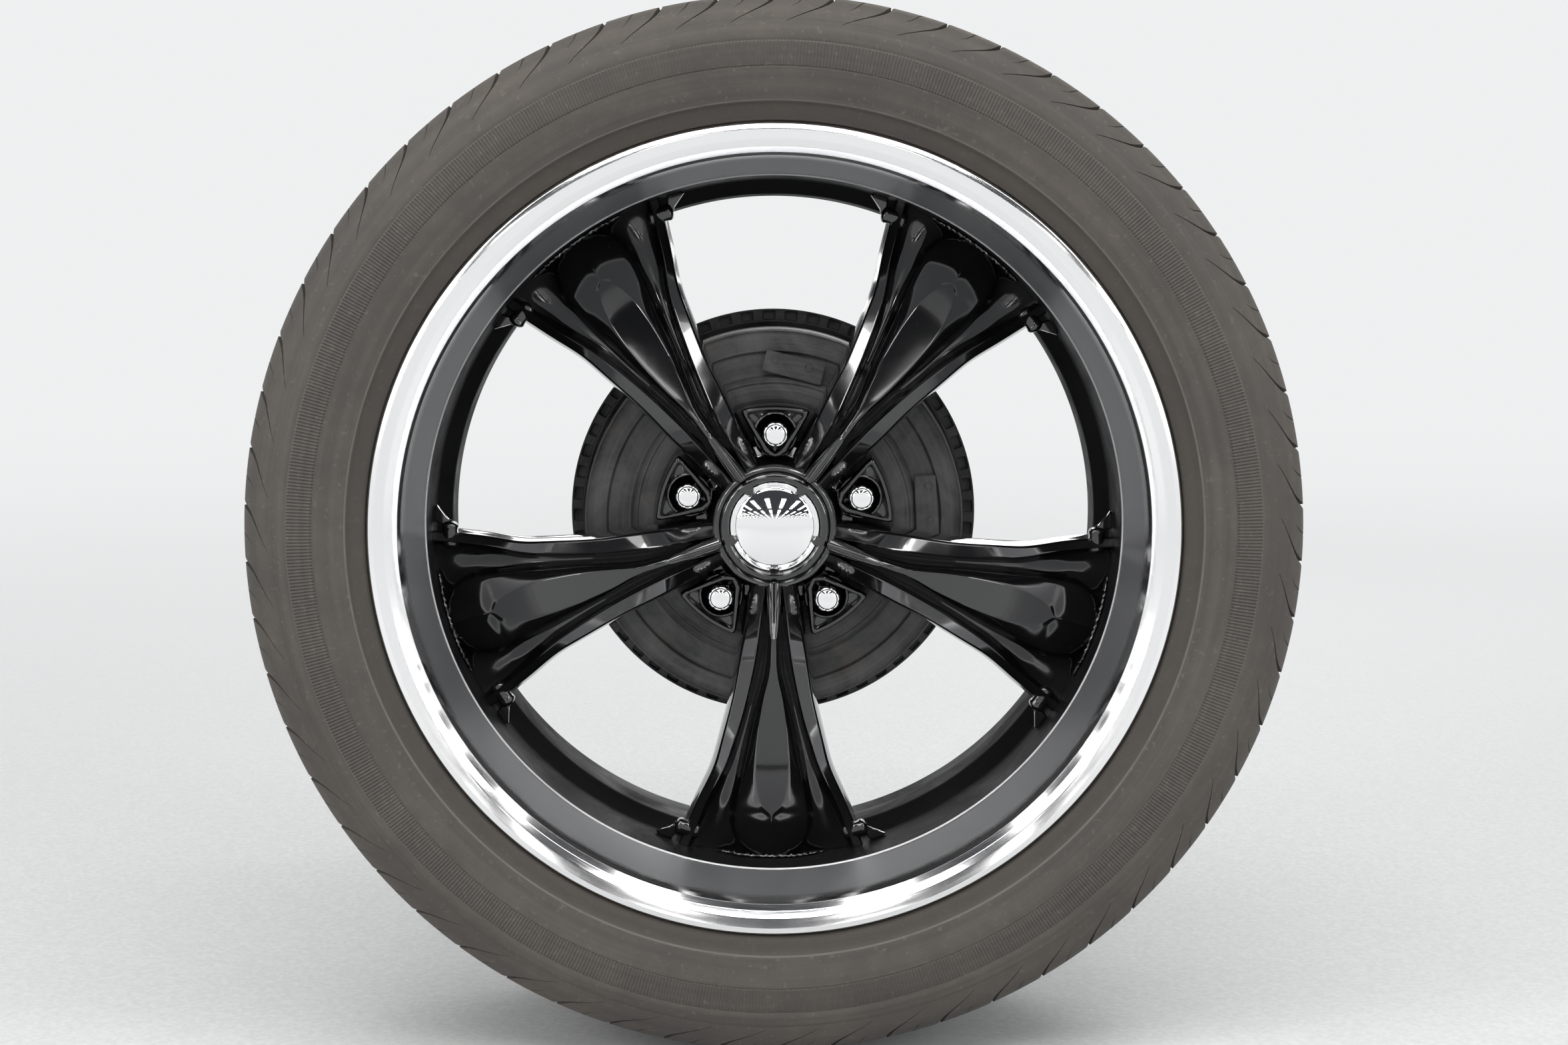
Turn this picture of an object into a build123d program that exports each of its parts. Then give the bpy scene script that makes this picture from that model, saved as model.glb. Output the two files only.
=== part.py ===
# Rear wheel end of a pickup: tyre, five-spoke rim, brake drum and the end of the axle.
# Millimetres, +Z up. The wheel spins about Y and its outer face looks towards -Y.
# The origin is the centre of the axle tube's inboard end.

import os
from math import cos, pi, radians, sin, sqrt

from build123d import *

os.makedirs("parts", exist_ok=True)

# Every "_at" value is a station: a distance inboard from the rim's outer face, along the axle.
axle_end_length = 460.0  # from the rim's outer face to the inboard end of the axle tube
rest_turn = 0.6  # how far one nut stands clockwise of the top, seen from outboard

# Clearances
seat_gap = 0.2  # between pieces that are pressed or seated together round a curve
running_gap = 0.05  # radial, between the shaft and its bearing
brake_gap = 6.0  # between the turning drum and what stands still

# Tyre
tyre_radius = 364.0
section_width = 278.0
tread_width = 236.0
tread_drop = 7.0  # fall of the tread from its crown to its edge
tread_thickness = 16.0
shoulder_reach = 14.0  # from the tread's edge out to the top of the sidewall
shoulder_drop = 18.0
shoulder_bend = 9.0  # middle of the shoulder's arc: out from the tread's edge
shoulder_bend_drop = 6.5
sidewall_thickness = 9.0
widest_radius = 313.0
guard_radius = 287.0  # the rib that stands round the rim's edge
guard_inset = 5.5  # from the tyre's widest place
guard_width = 3.0
guard_height = 2.5
toe_length = 3.0  # slope at the inner edge of each bead
toe_height = 4.5
cavity_step = 4.0  # the cavity's side starts this far below the guard rib
cavity_corner = 2.0  # the cavity reaches this far past the tread's edge
groove_width = 9.0
groove_depth = 8.0
groove_offsets = [-72.0, -24.0, 24.0, 72.0]  # across the tread, from its middle

# Rim
rim_width = 265.0  # overall, edge to edge
flange_thickness = 11.85  # from the rim's face to the tyre's bead
flange_radius = 273.9
flange_curl = 6.5
edge_inset = 1.4  # rounding of each flange's outer edge
edge_drop = 1.6
edge_height = 1.0  # of the flat rim edge, over the centre of the curl
bead_radius = 256.4
bead_width = 22.0
bead_drop = 1.8  # the bead seats taper down towards the middle
hump_width = 8.0
hump_drop = 0.3  # of the safety hump's crest, under the bead
step_radius = 253.0  # where the flange turns into the lip's wall
step_at = 10.0
lip_bulge = 1.5  # of the lip's rounded front
seat_radius = 242.7  # the straight ring of the barrel that holds the spokes
seat_at = 64.0
seat_length = 62.0
barrel_wall = 6.0
well_radius = 233.0  # inside of the drop well
well_at = 140.0
well_length = 34.0
inner_barrel_radius = 245.0
seat_slope = 4.0  # lengths of the slopes between the barrel's steps
well_slope = 16.0
bead_slope = 12.0
well_corner = 2.0
mouth_length = 14.0  # flare of the barrel's open inner end
mouth_lead = 4.0
mouth_height = 7.0
valve_at = 157.0
valve_radius = 4.6
valve_length = 34.0
valve_head_radius = 7.6
valve_head_height = 3.0
valve_collar_radius = 7.1
valve_collar_height = 5.0
valve_neck_radius = 3.6
valve_neck_slope = 2.0
valve_cap_length = 12.0
valve_bevel = 1.0

# Five-spoke centre
spoke_count = 5
mount_face_at = 120.0  # the face that is bolted against the drum
pad_radius = 83.0
pad_front_at = 86.0
pad_rib_height = 5.0
pad_bevel = 2.0
pad_corner = 15.2  # half the angle that a nut's triangular rib spans at its outer arc
pad_side = 3.0  # straight stretch at each corner of the rib
pad_tail_width = 12.0
pad_tail_gap = 2.0  # from the rib's inner end to the hub
pad_taper = 30  # lean of the rib's sides
hub_radius = 43.0
hub_front_at = 61.0
hub_fillet = 3.0
cap_bore_radius = 38.2
rail_bevel = 1.5
groove_flank = 1.5  # lean of each groove's sides
petal_slope = 0.16  # rise of the petal's roof from its edge to its ridge
groove_floor_at = 84.0  # beside the spear

# One spoke's sections, from the hub to the rim: half widths, then stations
# (radius, rail's outer edge, rail's inner edge, petal's edge,
#  rail's top, petal's edge, groove's floor, back)
spoke_rows = [
    (40.0, 15.0, 7.5, 3.0, 69.0, 60.0, 84.0, 116.0),
    (60.0, 17.5, 9.0, 2.6, 68.0, 54.0, 84.0, 116.0),
    (80.0, 21.0, 11.0, 2.2, 67.5, 50.0, 83.0, 112.0),
    (100.0, 24.5, 13.5, 3.6, 67.5, 51.5, 82.0, 104.0),
    (120.0, 27.8, 17.5, 7.8, 69.5, 56.5, 82.0, 100.0),
    (144.0, 33.5, 23.5, 13.2, 74.5, 65.5, 85.0, 101.0),
    (162.0, 38.0, 29.0, 16.8, 79.0, 72.5, 89.0, 104.0),
    (180.0, 43.5, 35.5, 20.6, 86.0, 80.0, 95.0, 108.0),
    (198.0, 52.0, 44.0, 24.2, 95.0, 87.5, 103.0, 114.0),
    (212.0, 58.0, 50.0, 26.2, 100.0, 93.0, 108.0, 119.0),
    (224.0, 63.0, 55.0, 25.0, 102.5, 97.0, 109.0, 122.0),
    (234.0, 67.0, 59.0, 21.0, 104.0, 99.5, 110.0, 124.0),
    (243.0, 71.0, 63.0, 11.0, 105.0, 101.5, 110.5, 124.0),
]
# The foot across each rail's outer end
foot_across = 60.5  # from the spoke's middle to the foot's
foot_radius = 229.5
foot_width = 19.0
foot_height = 12.5
foot_at = 98.5
foot_depth = 12.0
foot_corner = 3.0
# The spear over the petal's root
# (radius, half width, station of its ridge)
spear_rows = [(38.6, 6.0, 59.5), (60.0, 3.6, 52.0), (78.0, 0.5, 44.5)]

# Hub bolting, shared by the axle shaft, the drum and the wheel
bolt_circle_radius = 63.5
stud_radius = 7.0
stud_gap = 0.4  # round each stud, where it passes through
nut_radius = 9.0
nut_tip_at = 67.0
nut_tip_radius = 6.9
nut_tip_wall = 5.0
nut_seat_at = 102.0
nut_pocket_radius = 13.5
nut_flute_count = 8
nut_flute_radius = 1.6
nut_flute_inset = 0.7  # depth of each flute
nut_bevel = 2.0
stud_tip_gap = 3.0  # between the stud's end and the nut's closed tip
stud_head_radius = 9.5
stud_head_thickness = 5.0

# Centre cap
cap_radius = 31.3
cap_front_at = 61.0
cap_length = 15.0
cap_shoulder = 0.8  # bevel of the dome's bezel
collar_height = 3.0  # of the collar's round front
collar_step = 0.5  # the collar's inner edge stands out by this
dome_radius = 27.8
dome_height = 6.5
cap_floor = 2.0
cap_tab_width = 7.0
cap_tab_height = 5.0
cap_tab_thickness = 1.4
cap_tab_slope = 60
cap_tab_out = 1.0  # from the dome's edge to the tabs' middles

# Brake drum
drum_bore_radius = 127.0
drum_wall = 9.5
drum_depth = 84.0
drum_face_thickness = 7.0
drum_flange_radius = 151.0
drum_flange_thickness = 11.0
drum_pocket_count = 56
drum_pocket_radius = 146.0  # of the ring of pockets in the flange's outboard face
drum_pocket_height = 6.5
drum_pocket_depth = 6.0
# The drum's stepped face, from its pilot hole out: (station from the mounting face, radius)
drum_face_rows = [
    (0, 84), (-1.5, 87), (-1.5, 94), (1, 97), (0, 99), (3, 102), (6, 104), (6, 119), (3, 121),
]
# Behind it, from the bore in
drum_back_rows = [(14, 127), (13, 118), (11, 104), (7, 90)]
drum_corner = 4.0
drum_draft = 2.0  # growth of the drum's outside towards its flange
drum_flare = 6.0  # length of the slope up to the flange
drum_flare_height = 3.0
drum_ring_at = 3.0  # where the weights lie, inboard of the mounting face
weight_length = 44.0
weight_width = 15.4
weight_thickness = 3.5
weight_ring_radius = 110.0
weight_foot_share = 0.36  # the part of a weight that is let in the drum's face
rivet_radius = 2.6
rivet_height = 1.2
rivet_spacing = 25.2
# (clockwise from the top, seen from outboard; tilt of the plate)
weight_rows = [(7.4, -6.5), (85.0, -2.0)]

# Axle shaft
shaft_radius = 18.0
journal_radius = 20.0
shaft_flange_radius = 82.0
shaft_flange_thickness = 12.0
shaft_overhang = 58.0  # the splined end that stands out of the tube
spline_radius = 16.5
spline_length = 42.0
spline_count = 28
spline_depth = 1.2
spline_width = 1.8
shaft_bevel = 2.0
shaft_cone_radius = 36.0  # behind the flange, where the shaft starts
shaft_cone_length = 26.0
journal_margin = 10.0  # of the journal past its bearing
journal_slope = 8.0
spline_slope = 6.0
pilot_radius = 35.0
pilot_length = 22.0

# Axle tube and its outer end
tube_radius = 38.1
tube_wall = 6.4
tube_seat_radius = 37.6  # the machined end that is pressed in the axle's middle housing
tube_seat_length = 60.0
plate_radius = 147.0
plate_thickness = 3.2
plate_step = 6.0  # depth of the plate's pressed ring
plate_hub_radius = 84.0
plate_ring_radius = 92.0
plate_rim_width = 10.0
housing_flange_thickness = 11.0
housing_flange_width = 112.0
housing_flange_height = 96.0
plate_bolt_spacing_x = 84.0
plate_bolt_spacing_z = 62.0
plate_bolt_radius = 5.5
housing_neck_radius = 41.0
bolt_head_radius = 9.5
bolt_head_thickness = 7.0
bolt_nut_thickness = 9.0
bolt_tail = 4.0
housing_corner = 16.0
seal_gap = 0.3  # radial, between the seal's lip and the shaft
seal_length = 8.0
cylinder_width = 44.0
cylinder_height = 112.0  # over the axle
cylinder_body = 24.0
cylinder_depth = 8.0
cylinder_bolt_radius = 6.5
cylinder_bolt_height = 6.0
bleeder_radius = 4.0
bleeder_length = 10.0
bearing_length = 24.0
housing_neck_length = 34.0

# Spring perch, welded on the tube
perch_at = 362.0
perch_length = 64.0
perch_width = 104.0
perch_height = 58.0  # of its top face, over the tube's axis
perch_hole_radius = 8.0
perch_hole_floor = 1.0  # left over the tube
perch_wall = 6.0
perch_lip = 14.0  # height of the top plate's edge
perch_cheek_top = 8.0  # where the cheeks turn out, over the tube's axis
perch_cheek_end = -4.0

# Worked out from the sizes above
lip_face_y = -axle_end_length
nut_length = nut_seat_at - nut_tip_at
rim_middle = rim_width / 2
flange_at = mount_face_at + drum_face_thickness  # outboard face of the shaft's flange
drum_edge_at = mount_face_at + drum_depth
plate_at = drum_edge_at + brake_gap
cap_seat_at = cap_front_at + cap_length
housing_at = plate_at + plate_thickness
bearing_bore_radius = tube_radius - tube_wall
seal_at = housing_at
bearing_at = seal_at + seal_length
nut_angles = [rest_turn + 360 / spoke_count * n for n in range(spoke_count)]
spoke_angles = [angle + 180 / spoke_count for angle in nut_angles]


def facing(station, clockwise=0.0):
    # The plane square to the axle at a station, seen from outboard: local X right, local Y up
    turn = radians(clockwise)
    return Plane(origin=(0, lip_face_y + station, 0), x_dir=(cos(turn), 0, -sin(turn)), z_dir=(0, -1, 0))


def axial(station):
    # The upright plane through the axle: local X runs inboard from a station, local Y is radius
    return Plane(origin=(0, lip_face_y + station, 0), x_dir=(0, 1, 0), z_dir=(1, 0, 0))


def circle_height(radius, across):
    # How high a circle stands at a distance beside its centre
    return sqrt(radius**2 - across**2)


def finish(piece, name):
    piece.part.label = name
    export_step(piece.part, f"parts/{name}.step")


def curl_arc(centre_x, centre_y, radius, side):
    # The quarter of a flange's curl from its top down to the bead's face
    corner = radius * sqrt(0.5)
    ThreePointArc(
        (centre_x, centre_y + radius),
        (centre_x + side * corner, centre_y + corner),
        (centre_x + side * radius, centre_y),
    )


# Tyre
curl_radius = flange_radius - flange_curl  # how far out the centre of a flange's curl lies
curl_across = rim_middle - flange_thickness + flange_curl
bead_across = rim_middle - flange_thickness - seat_gap
edge_across = tread_width / 2
edge_radius = tyre_radius - tread_drop
side_across = section_width / 2
guard_across = side_across - guard_inset
shoulder_across = edge_across + shoulder_reach
cavity_across = bead_across - sidewall_thickness
with BuildPart() as tyre:
    with BuildSketch(axial(rim_middle)):
        with BuildLine():
            # Outer side, from the crown to the bead
            TangentArc((0, tyre_radius), (-edge_across, edge_radius), tangent=(-1, 0))
            ThreePointArc(
                (-edge_across, edge_radius),
                (-edge_across - shoulder_bend, edge_radius - shoulder_bend_drop),
                (-shoulder_across, edge_radius - shoulder_drop),
            )
            ThreePointArc(
                (-shoulder_across, edge_radius - shoulder_drop),
                (-side_across, widest_radius),
                (-guard_across, guard_radius),
            )
            Polyline(
                (-guard_across, guard_radius),
                (-guard_across + guard_width, guard_radius - guard_height),
                (-curl_across, curl_radius + flange_curl + seat_gap),
            )
            curl_arc(-curl_across, curl_radius, flange_curl + seat_gap, 1)
            Polyline(
                (-bead_across, curl_radius),
                (-bead_across, bead_radius + seat_gap),
                (-bead_across + bead_width, bead_radius + seat_gap),
                (-bead_across + bead_width - toe_length, bead_radius + toe_height),
                (-cavity_across, guard_radius - cavity_step),
            )
            # Inner side, from the bead back to the crown
            ThreePointArc(
                (-cavity_across, guard_radius - cavity_step),
                (-side_across + sidewall_thickness, widest_radius),
                (-edge_across + cavity_corner, edge_radius - tread_thickness),
            )
            Line(
                (-edge_across + cavity_corner, edge_radius - tread_thickness),
                (0, tyre_radius - tread_thickness),
            )
            mirror(about=Plane.YZ)
        make_face()
        with Locations(*[(offset, tyre_radius) for offset in groove_offsets]):
            Rectangle(groove_width, 2 * groove_depth, mode=Mode.SUBTRACT)
    revolve(axis=Axis.Y)
finish(tyre, "tyre")

# Rim: a polished lip, the seat for the spokes, the drop well and the inner bead seat
curl_at = flange_thickness - flange_curl
edge_radius_low = curl_radius + edge_height
bead_end = flange_thickness + bead_width
hump_end = bead_end + hump_width
inner_bead_end = rim_width - bead_end
inner_hump_end = rim_width - hump_end
seat_outer = seat_radius + barrel_wall
well_outer = well_radius + barrel_wall
inner_outer = inner_barrel_radius + barrel_wall
well_end = well_at + well_length
with BuildPart() as rim:
    with BuildSketch(axial(0)):
        with BuildLine():
            # Outer flange
            ThreePointArc(
                (0, edge_radius_low),
                (edge_inset, flange_radius - edge_drop),
                (curl_at, flange_radius),
            )
            curl_arc(curl_at, curl_radius, flange_curl, 1)
            # Tyre side, from the outer bead to the inner one
            Polyline(
                (flange_thickness, curl_radius),
                (flange_thickness, bead_radius),
                (bead_end, bead_radius - bead_drop),
            )
            ThreePointArc(
                (bead_end, bead_radius - bead_drop),
                (bead_end + hump_width / 2, bead_radius - hump_drop),
                (hump_end, bead_radius - bead_drop),
            )
            Polyline(
                (hump_end, bead_radius - bead_drop),
                (seat_at - seat_slope, seat_outer),
                (seat_at + seat_length, seat_outer),
                (well_at, well_outer),
                (well_end, well_outer),
                (well_end + well_slope, inner_outer),
                (inner_bead_end - bead_slope, inner_outer),
                (inner_hump_end, bead_radius - bead_drop),
            )
            ThreePointArc(
                (inner_hump_end, bead_radius - bead_drop),
                (inner_bead_end - hump_width / 2, bead_radius - hump_drop),
                (inner_bead_end, bead_radius - bead_drop),
            )
            Polyline(
                (inner_bead_end, bead_radius - bead_drop),
                (rim_width - flange_thickness, bead_radius),
                (rim_width - flange_thickness, curl_radius),
            )
            # Inner flange
            curl_arc(rim_width - curl_at, curl_radius, flange_curl, -1)
            ThreePointArc(
                (rim_width - curl_at, flange_radius),
                (rim_width - edge_inset, flange_radius - edge_drop),
                (rim_width, edge_radius_low),
            )
            # Wheel side, from the inner edge back to the lip
            Polyline(
                (rim_width, edge_radius_low),
                (rim_width - mouth_lead, inner_barrel_radius + mouth_height),
                (rim_width - mouth_length, inner_barrel_radius),
                (well_end + well_slope - well_corner, inner_barrel_radius),
                (well_end - well_corner, well_radius),
                (well_at + well_corner, well_radius),
                (seat_at + seat_length, seat_radius),
                (seat_at, seat_radius),
                (step_at, step_radius),
            )
            ThreePointArc(
                (step_at, step_radius),
                (step_at / 4, (step_radius + curl_radius) / 2 - lip_bulge),
                (0, edge_radius_low),
            )
        make_face()
    revolve(axis=Axis.Y)
    with BuildSketch(Plane(origin=(0, lip_face_y + valve_at, 0), x_dir=(1, 0, 0), z_dir=(0, 0, -1))):
        Circle(valve_radius + seat_gap)
    extrude(amount=well_radius + 2 * barrel_wall, mode=Mode.SUBTRACT)
finish(rim, "rim")

# Valve, through the floor of the drop well behind the lowest spoke
with BuildPart() as valve:
    with BuildSketch(Plane(origin=(0, lip_face_y + valve_at, 0), x_dir=(0, 1, 0), z_dir=(1, 0, 0))):
        with BuildLine():
            head = -well_radius - barrel_wall
            foot = -well_radius + seat_gap
            top = -well_radius + valve_length
            Polyline(
                (0, head - valve_head_height),
                (valve_head_radius, head - valve_head_height + valve_bevel),
                (valve_head_radius, head),
                (valve_radius, head),
                (valve_radius, foot),
                (valve_collar_radius, foot),
                (valve_collar_radius, foot + valve_collar_height),
                (valve_neck_radius, foot + valve_collar_height + valve_neck_slope),
                (valve_neck_radius, top - valve_cap_length),
                (valve_radius, top - valve_cap_length),
                (valve_radius, top - valve_bevel),
                (valve_neck_radius, top),
                (0, top),
                close=True,
            )
        make_face()
    revolve(axis=Axis((0, lip_face_y + valve_at, 0), (0, 0, 1)))
finish(valve, "valve")

# One spoke, standing upright: two rails, the petal between them, deep grooves, and the spear
def across_at(radius):
    # The plane that cuts an upright spoke square to its length: local X across, local Y station
    return Plane(origin=(0, lip_face_y, radius), x_dir=(1, 0, 0), z_dir=(0, 0, 1))


with BuildPart() as spoke:
    for radius, rail_outer, rail_inner, petal_edge, rail_at, petal_at, floor_at, back_at in spoke_rows:
        right_side = [
            (petal_edge, petal_at),
            (petal_edge + groove_flank, floor_at),
            (rail_inner - groove_flank, floor_at),
            (rail_inner, rail_at),
            (rail_outer - rail_bevel, rail_at),
            (rail_outer, rail_at + rail_bevel),
            (rail_outer, back_at),
        ]
        left_side = [(-across, station) for across, station in reversed(right_side)]
        with BuildSketch(across_at(radius)):
            Polygon((0, petal_at - petal_slope * petal_edge), *right_side, *left_side, align=None)
    loft(ruled=True)
    # Spear
    for radius, half_width, ridge_at in spear_rows:
        with BuildSketch(across_at(radius)):
            Polygon(
                (0, ridge_at),
                (half_width, ridge_at + half_width),
                (half_width, groove_floor_at),
                (-half_width, groove_floor_at),
                (-half_width, ridge_at + half_width),
                align=None,
            )
    loft(ruled=True)
    # Feet
    with BuildSketch(facing(foot_at + foot_depth)):
        with Locations((-foot_across, foot_radius), (foot_across, foot_radius)):
            RectangleRounded(foot_width, foot_height, foot_corner)
    extrude(amount=foot_depth)
    # Outer end, cut to the barrel's seat
    with BuildSketch(facing(spoke_rows[-1][7])):
        Circle(seat_radius - seat_gap)
    extrude(amount=spoke_rows[-1][7], mode=Mode.INTERSECT)


def pad_line():
    # The triangle that stands round one nut, its arc outermost and its corners cut
    corner_x = pad_radius * sin(radians(pad_corner))
    corner_y = pad_radius * cos(radians(pad_corner))
    tail_x = pad_tail_width / 2
    tail_y = hub_radius + pad_tail_gap
    Polyline((corner_x, corner_y), (corner_x, corner_y - pad_side), (tail_x, tail_y), (-tail_x, tail_y))
    Polyline((-tail_x, tail_y), (-corner_x, corner_y - pad_side), (-corner_x, corner_y))
    ThreePointArc((-corner_x, corner_y), (0, pad_radius), (corner_x, corner_y))


# Five-spoke centre: hub, bolting pad and five spokes, whose ends are welded in the barrel
with BuildPart() as spoke_centre:
    # Hub and pad
    with BuildSketch(axial(0)):
        with BuildLine():
            Polyline(
                (mount_face_at, pilot_radius + stud_gap),
                (mount_face_at, pad_radius),
                (pad_front_at + pad_bevel, pad_radius),
                (pad_front_at, pad_radius - pad_bevel),
                (pad_front_at, hub_radius + hub_fillet),
                (pad_front_at - hub_fillet, hub_radius),
                (hub_front_at + pad_bevel, hub_radius),
                (hub_front_at, hub_radius - pad_bevel),
                (hub_front_at, cap_bore_radius),
                (cap_seat_at, cap_bore_radius),
                (cap_seat_at, pilot_radius + stud_gap),
                close=True,
            )
        make_face()
    revolve(axis=Axis.Y)
    # Spokes
    for angle in spoke_angles:
        add(spoke.part.rotate(Axis.Y, angle))
    # Bore for the cap, cleared of the spokes' roots
    with BuildSketch(facing(cap_seat_at)):
        Circle(cap_bore_radius)
    extrude(amount=cap_seat_at, mode=Mode.SUBTRACT)
    # Raised triangular rib round each nut
    for angle in nut_angles:
        with BuildSketch(facing(pad_front_at, angle)):
            with BuildLine():
                pad_line()
            make_face()
        extrude(amount=pad_rib_height, taper=pad_taper)
    # Nut pockets, seats and stud holes
    for angle in nut_angles:
        with BuildSketch(facing(nut_seat_at, angle)):
            with Locations((0, bolt_circle_radius)):
                Circle(nut_pocket_radius)
        extrude(amount=nut_seat_at - pad_front_at + pad_rib_height, mode=Mode.SUBTRACT)
        with BuildSketch(facing(mount_face_at, angle)):
            with Locations((0, bolt_circle_radius)):
                Circle(stud_radius + stud_gap)
        extrude(amount=mount_face_at - nut_seat_at, mode=Mode.SUBTRACT)
finish(spoke_centre, "spoke_centre")

# Cap: a black collar pressed in the hub's bore, with tabs over the edge of a polished dome
with BuildPart() as cap_ring:
    collar_outer = cap_bore_radius - seat_gap
    with BuildSketch(axial(0)):
        with BuildLine():
            ThreePointArc(
                (cap_front_at - collar_step, cap_radius + seat_gap),
                (cap_front_at - collar_height, (cap_radius + collar_outer) / 2),
                (cap_front_at, collar_outer),
            )
            Polyline(
                (cap_front_at, collar_outer),
                (cap_seat_at, collar_outer),
                (cap_seat_at, 0),
                (cap_seat_at - cap_floor, 0),
                (cap_seat_at - cap_floor, cap_radius + seat_gap),
                (cap_front_at - collar_step, cap_radius + seat_gap),
            )
        make_face()
    revolve(axis=Axis.Y)
    for angle in spoke_angles:
        with BuildSketch(facing(cap_front_at - seat_gap, angle)):
            with Locations((0, cap_radius + cap_tab_out)):
                Trapezoid(cap_tab_width, cap_tab_height, cap_tab_slope)
        extrude(amount=cap_tab_thickness)
finish(cap_ring, "cap_ring")

with BuildPart() as centre_cap:
    with BuildSketch(axial(cap_front_at)):
        with BuildLine():
            Polyline(
                (-dome_height, 0),
                (cap_seat_at - cap_floor - cap_front_at, 0),
                (cap_seat_at - cap_floor - cap_front_at, cap_radius),
                (cap_shoulder, cap_radius),
                (0, cap_radius - cap_shoulder),
                (0, dome_radius),
            )
            TangentArc((-dome_height, 0), (0, dome_radius), tangent=(0, 1))
        make_face()
    revolve(axis=Axis.Y)
finish(centre_cap, "centre_cap")

# Lug nuts, closed at the tip, with flutes down their sides; each stands on the seat in its pocket
for number, angle in enumerate(nut_angles, start=1):
    nut_x = bolt_circle_radius * sin(radians(angle))
    nut_z = bolt_circle_radius * cos(radians(angle))
    with BuildPart() as lug_nut:
        with BuildSketch(Plane(origin=(nut_x, lip_face_y, nut_z), x_dir=(0, 1, 0), z_dir=(1, 0, 0))):
            with BuildLine():
                Polyline(
                    (nut_seat_at, stud_radius + seat_gap),
                    (nut_seat_at, nut_radius),
                    (nut_tip_at + nut_bevel, nut_radius),
                    (nut_tip_at, nut_tip_radius),
                    (nut_tip_at, 0),
                    (nut_tip_at + nut_tip_wall, 0),
                    (nut_tip_at + nut_tip_wall, stud_radius + seat_gap),
                    close=True,
                )
            make_face()
        revolve(axis=Axis((nut_x, 0, nut_z), (0, 1, 0)))
        with BuildSketch(facing(nut_seat_at, angle)):
            with Locations((0, bolt_circle_radius)):
                with PolarLocations(nut_radius + nut_flute_radius - nut_flute_inset, nut_flute_count):
                    Circle(nut_flute_radius)
        extrude(amount=nut_length, mode=Mode.SUBTRACT)
    finish(lug_nut, f"lug_nut_{number}")

# Wheel studs, pressed in the axle shaft's flange
stud_foot_at = flange_at + shaft_flange_thickness
for number, angle in enumerate(nut_angles, start=1):
    with BuildPart() as wheel_stud:
        with BuildSketch(facing(stud_foot_at, angle)):
            with Locations((0, bolt_circle_radius)):
                Circle(stud_radius)
        extrude(amount=stud_foot_at - nut_tip_at - nut_tip_wall - stud_tip_gap)
        with BuildSketch(facing(stud_foot_at, angle)):
            with Locations((0, bolt_circle_radius)):
                Circle(stud_head_radius)
        extrude(amount=-stud_head_thickness)
    finish(wheel_stud, f"wheel_stud_{number}")

# Brake drum: a pot open inboard, with a stepped face and a flange round its open edge
drum_outer = drum_bore_radius + drum_wall
flange_front = drum_depth - drum_flange_thickness
with BuildPart() as brake_drum:
    with BuildSketch(axial(mount_face_at)):
        with BuildLine():
            Polyline(
                (0, pilot_radius + seat_gap),
                *drum_face_rows,
                (drum_ring_at, drum_outer - drum_corner),
                (drum_ring_at + drum_corner, drum_outer),
                (flange_front - drum_flare, drum_outer + drum_draft),
                (flange_front, drum_outer + drum_draft + drum_flare_height),
                (flange_front, drum_flange_radius),
                (drum_depth, drum_flange_radius),
                (drum_depth, drum_bore_radius),
                *drum_back_rows,
                (drum_face_thickness, pilot_radius + seat_gap),
                close=True,
            )
        make_face()
    revolve(axis=Axis.Y)
    # Stud holes
    with BuildSketch(facing(mount_face_at + drum_face_thickness)):
        with PolarLocations(bolt_circle_radius, spoke_count, start_angle=90 - rest_turn):
            Circle(stud_radius + stud_gap)
    extrude(amount=drum_face_thickness, mode=Mode.SUBTRACT)
    # Pockets round the flange
    with BuildSketch(facing(mount_face_at + flange_front)):
        with PolarLocations(drum_pocket_radius, drum_pocket_count):
            Rectangle(drum_pocket_height, pi * drum_pocket_radius / drum_pocket_count)
    extrude(amount=-drum_pocket_depth, mode=Mode.SUBTRACT)
finish(brake_drum, "brake_drum")

# Balance weights, riveted flat on the drum's face
for number, (angle, tilt) in enumerate(weight_rows, start=1):
    with BuildPart() as drum_weight:
        with BuildSketch(facing(mount_face_at + 2 * drum_ring_at, angle)):
            with Locations(Location((0, weight_ring_radius), tilt)):
                Rectangle(weight_length * weight_foot_share, weight_width / 2)
        extrude(amount=drum_ring_at)
        with BuildSketch(facing(mount_face_at + drum_ring_at, angle)):
            with Locations(Location((0, weight_ring_radius), tilt)):
                Rectangle(weight_length, weight_width)
        extrude(amount=weight_thickness)
        with BuildSketch(facing(mount_face_at + drum_ring_at - weight_thickness, angle)):
            with Locations(Location((0, weight_ring_radius), tilt)):
                with GridLocations(rivet_spacing, 1, 2, 1):
                    Circle(rivet_radius)
        extrude(amount=rivet_height)
    finish(drum_weight, f"drum_weight_{number}")

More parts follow.
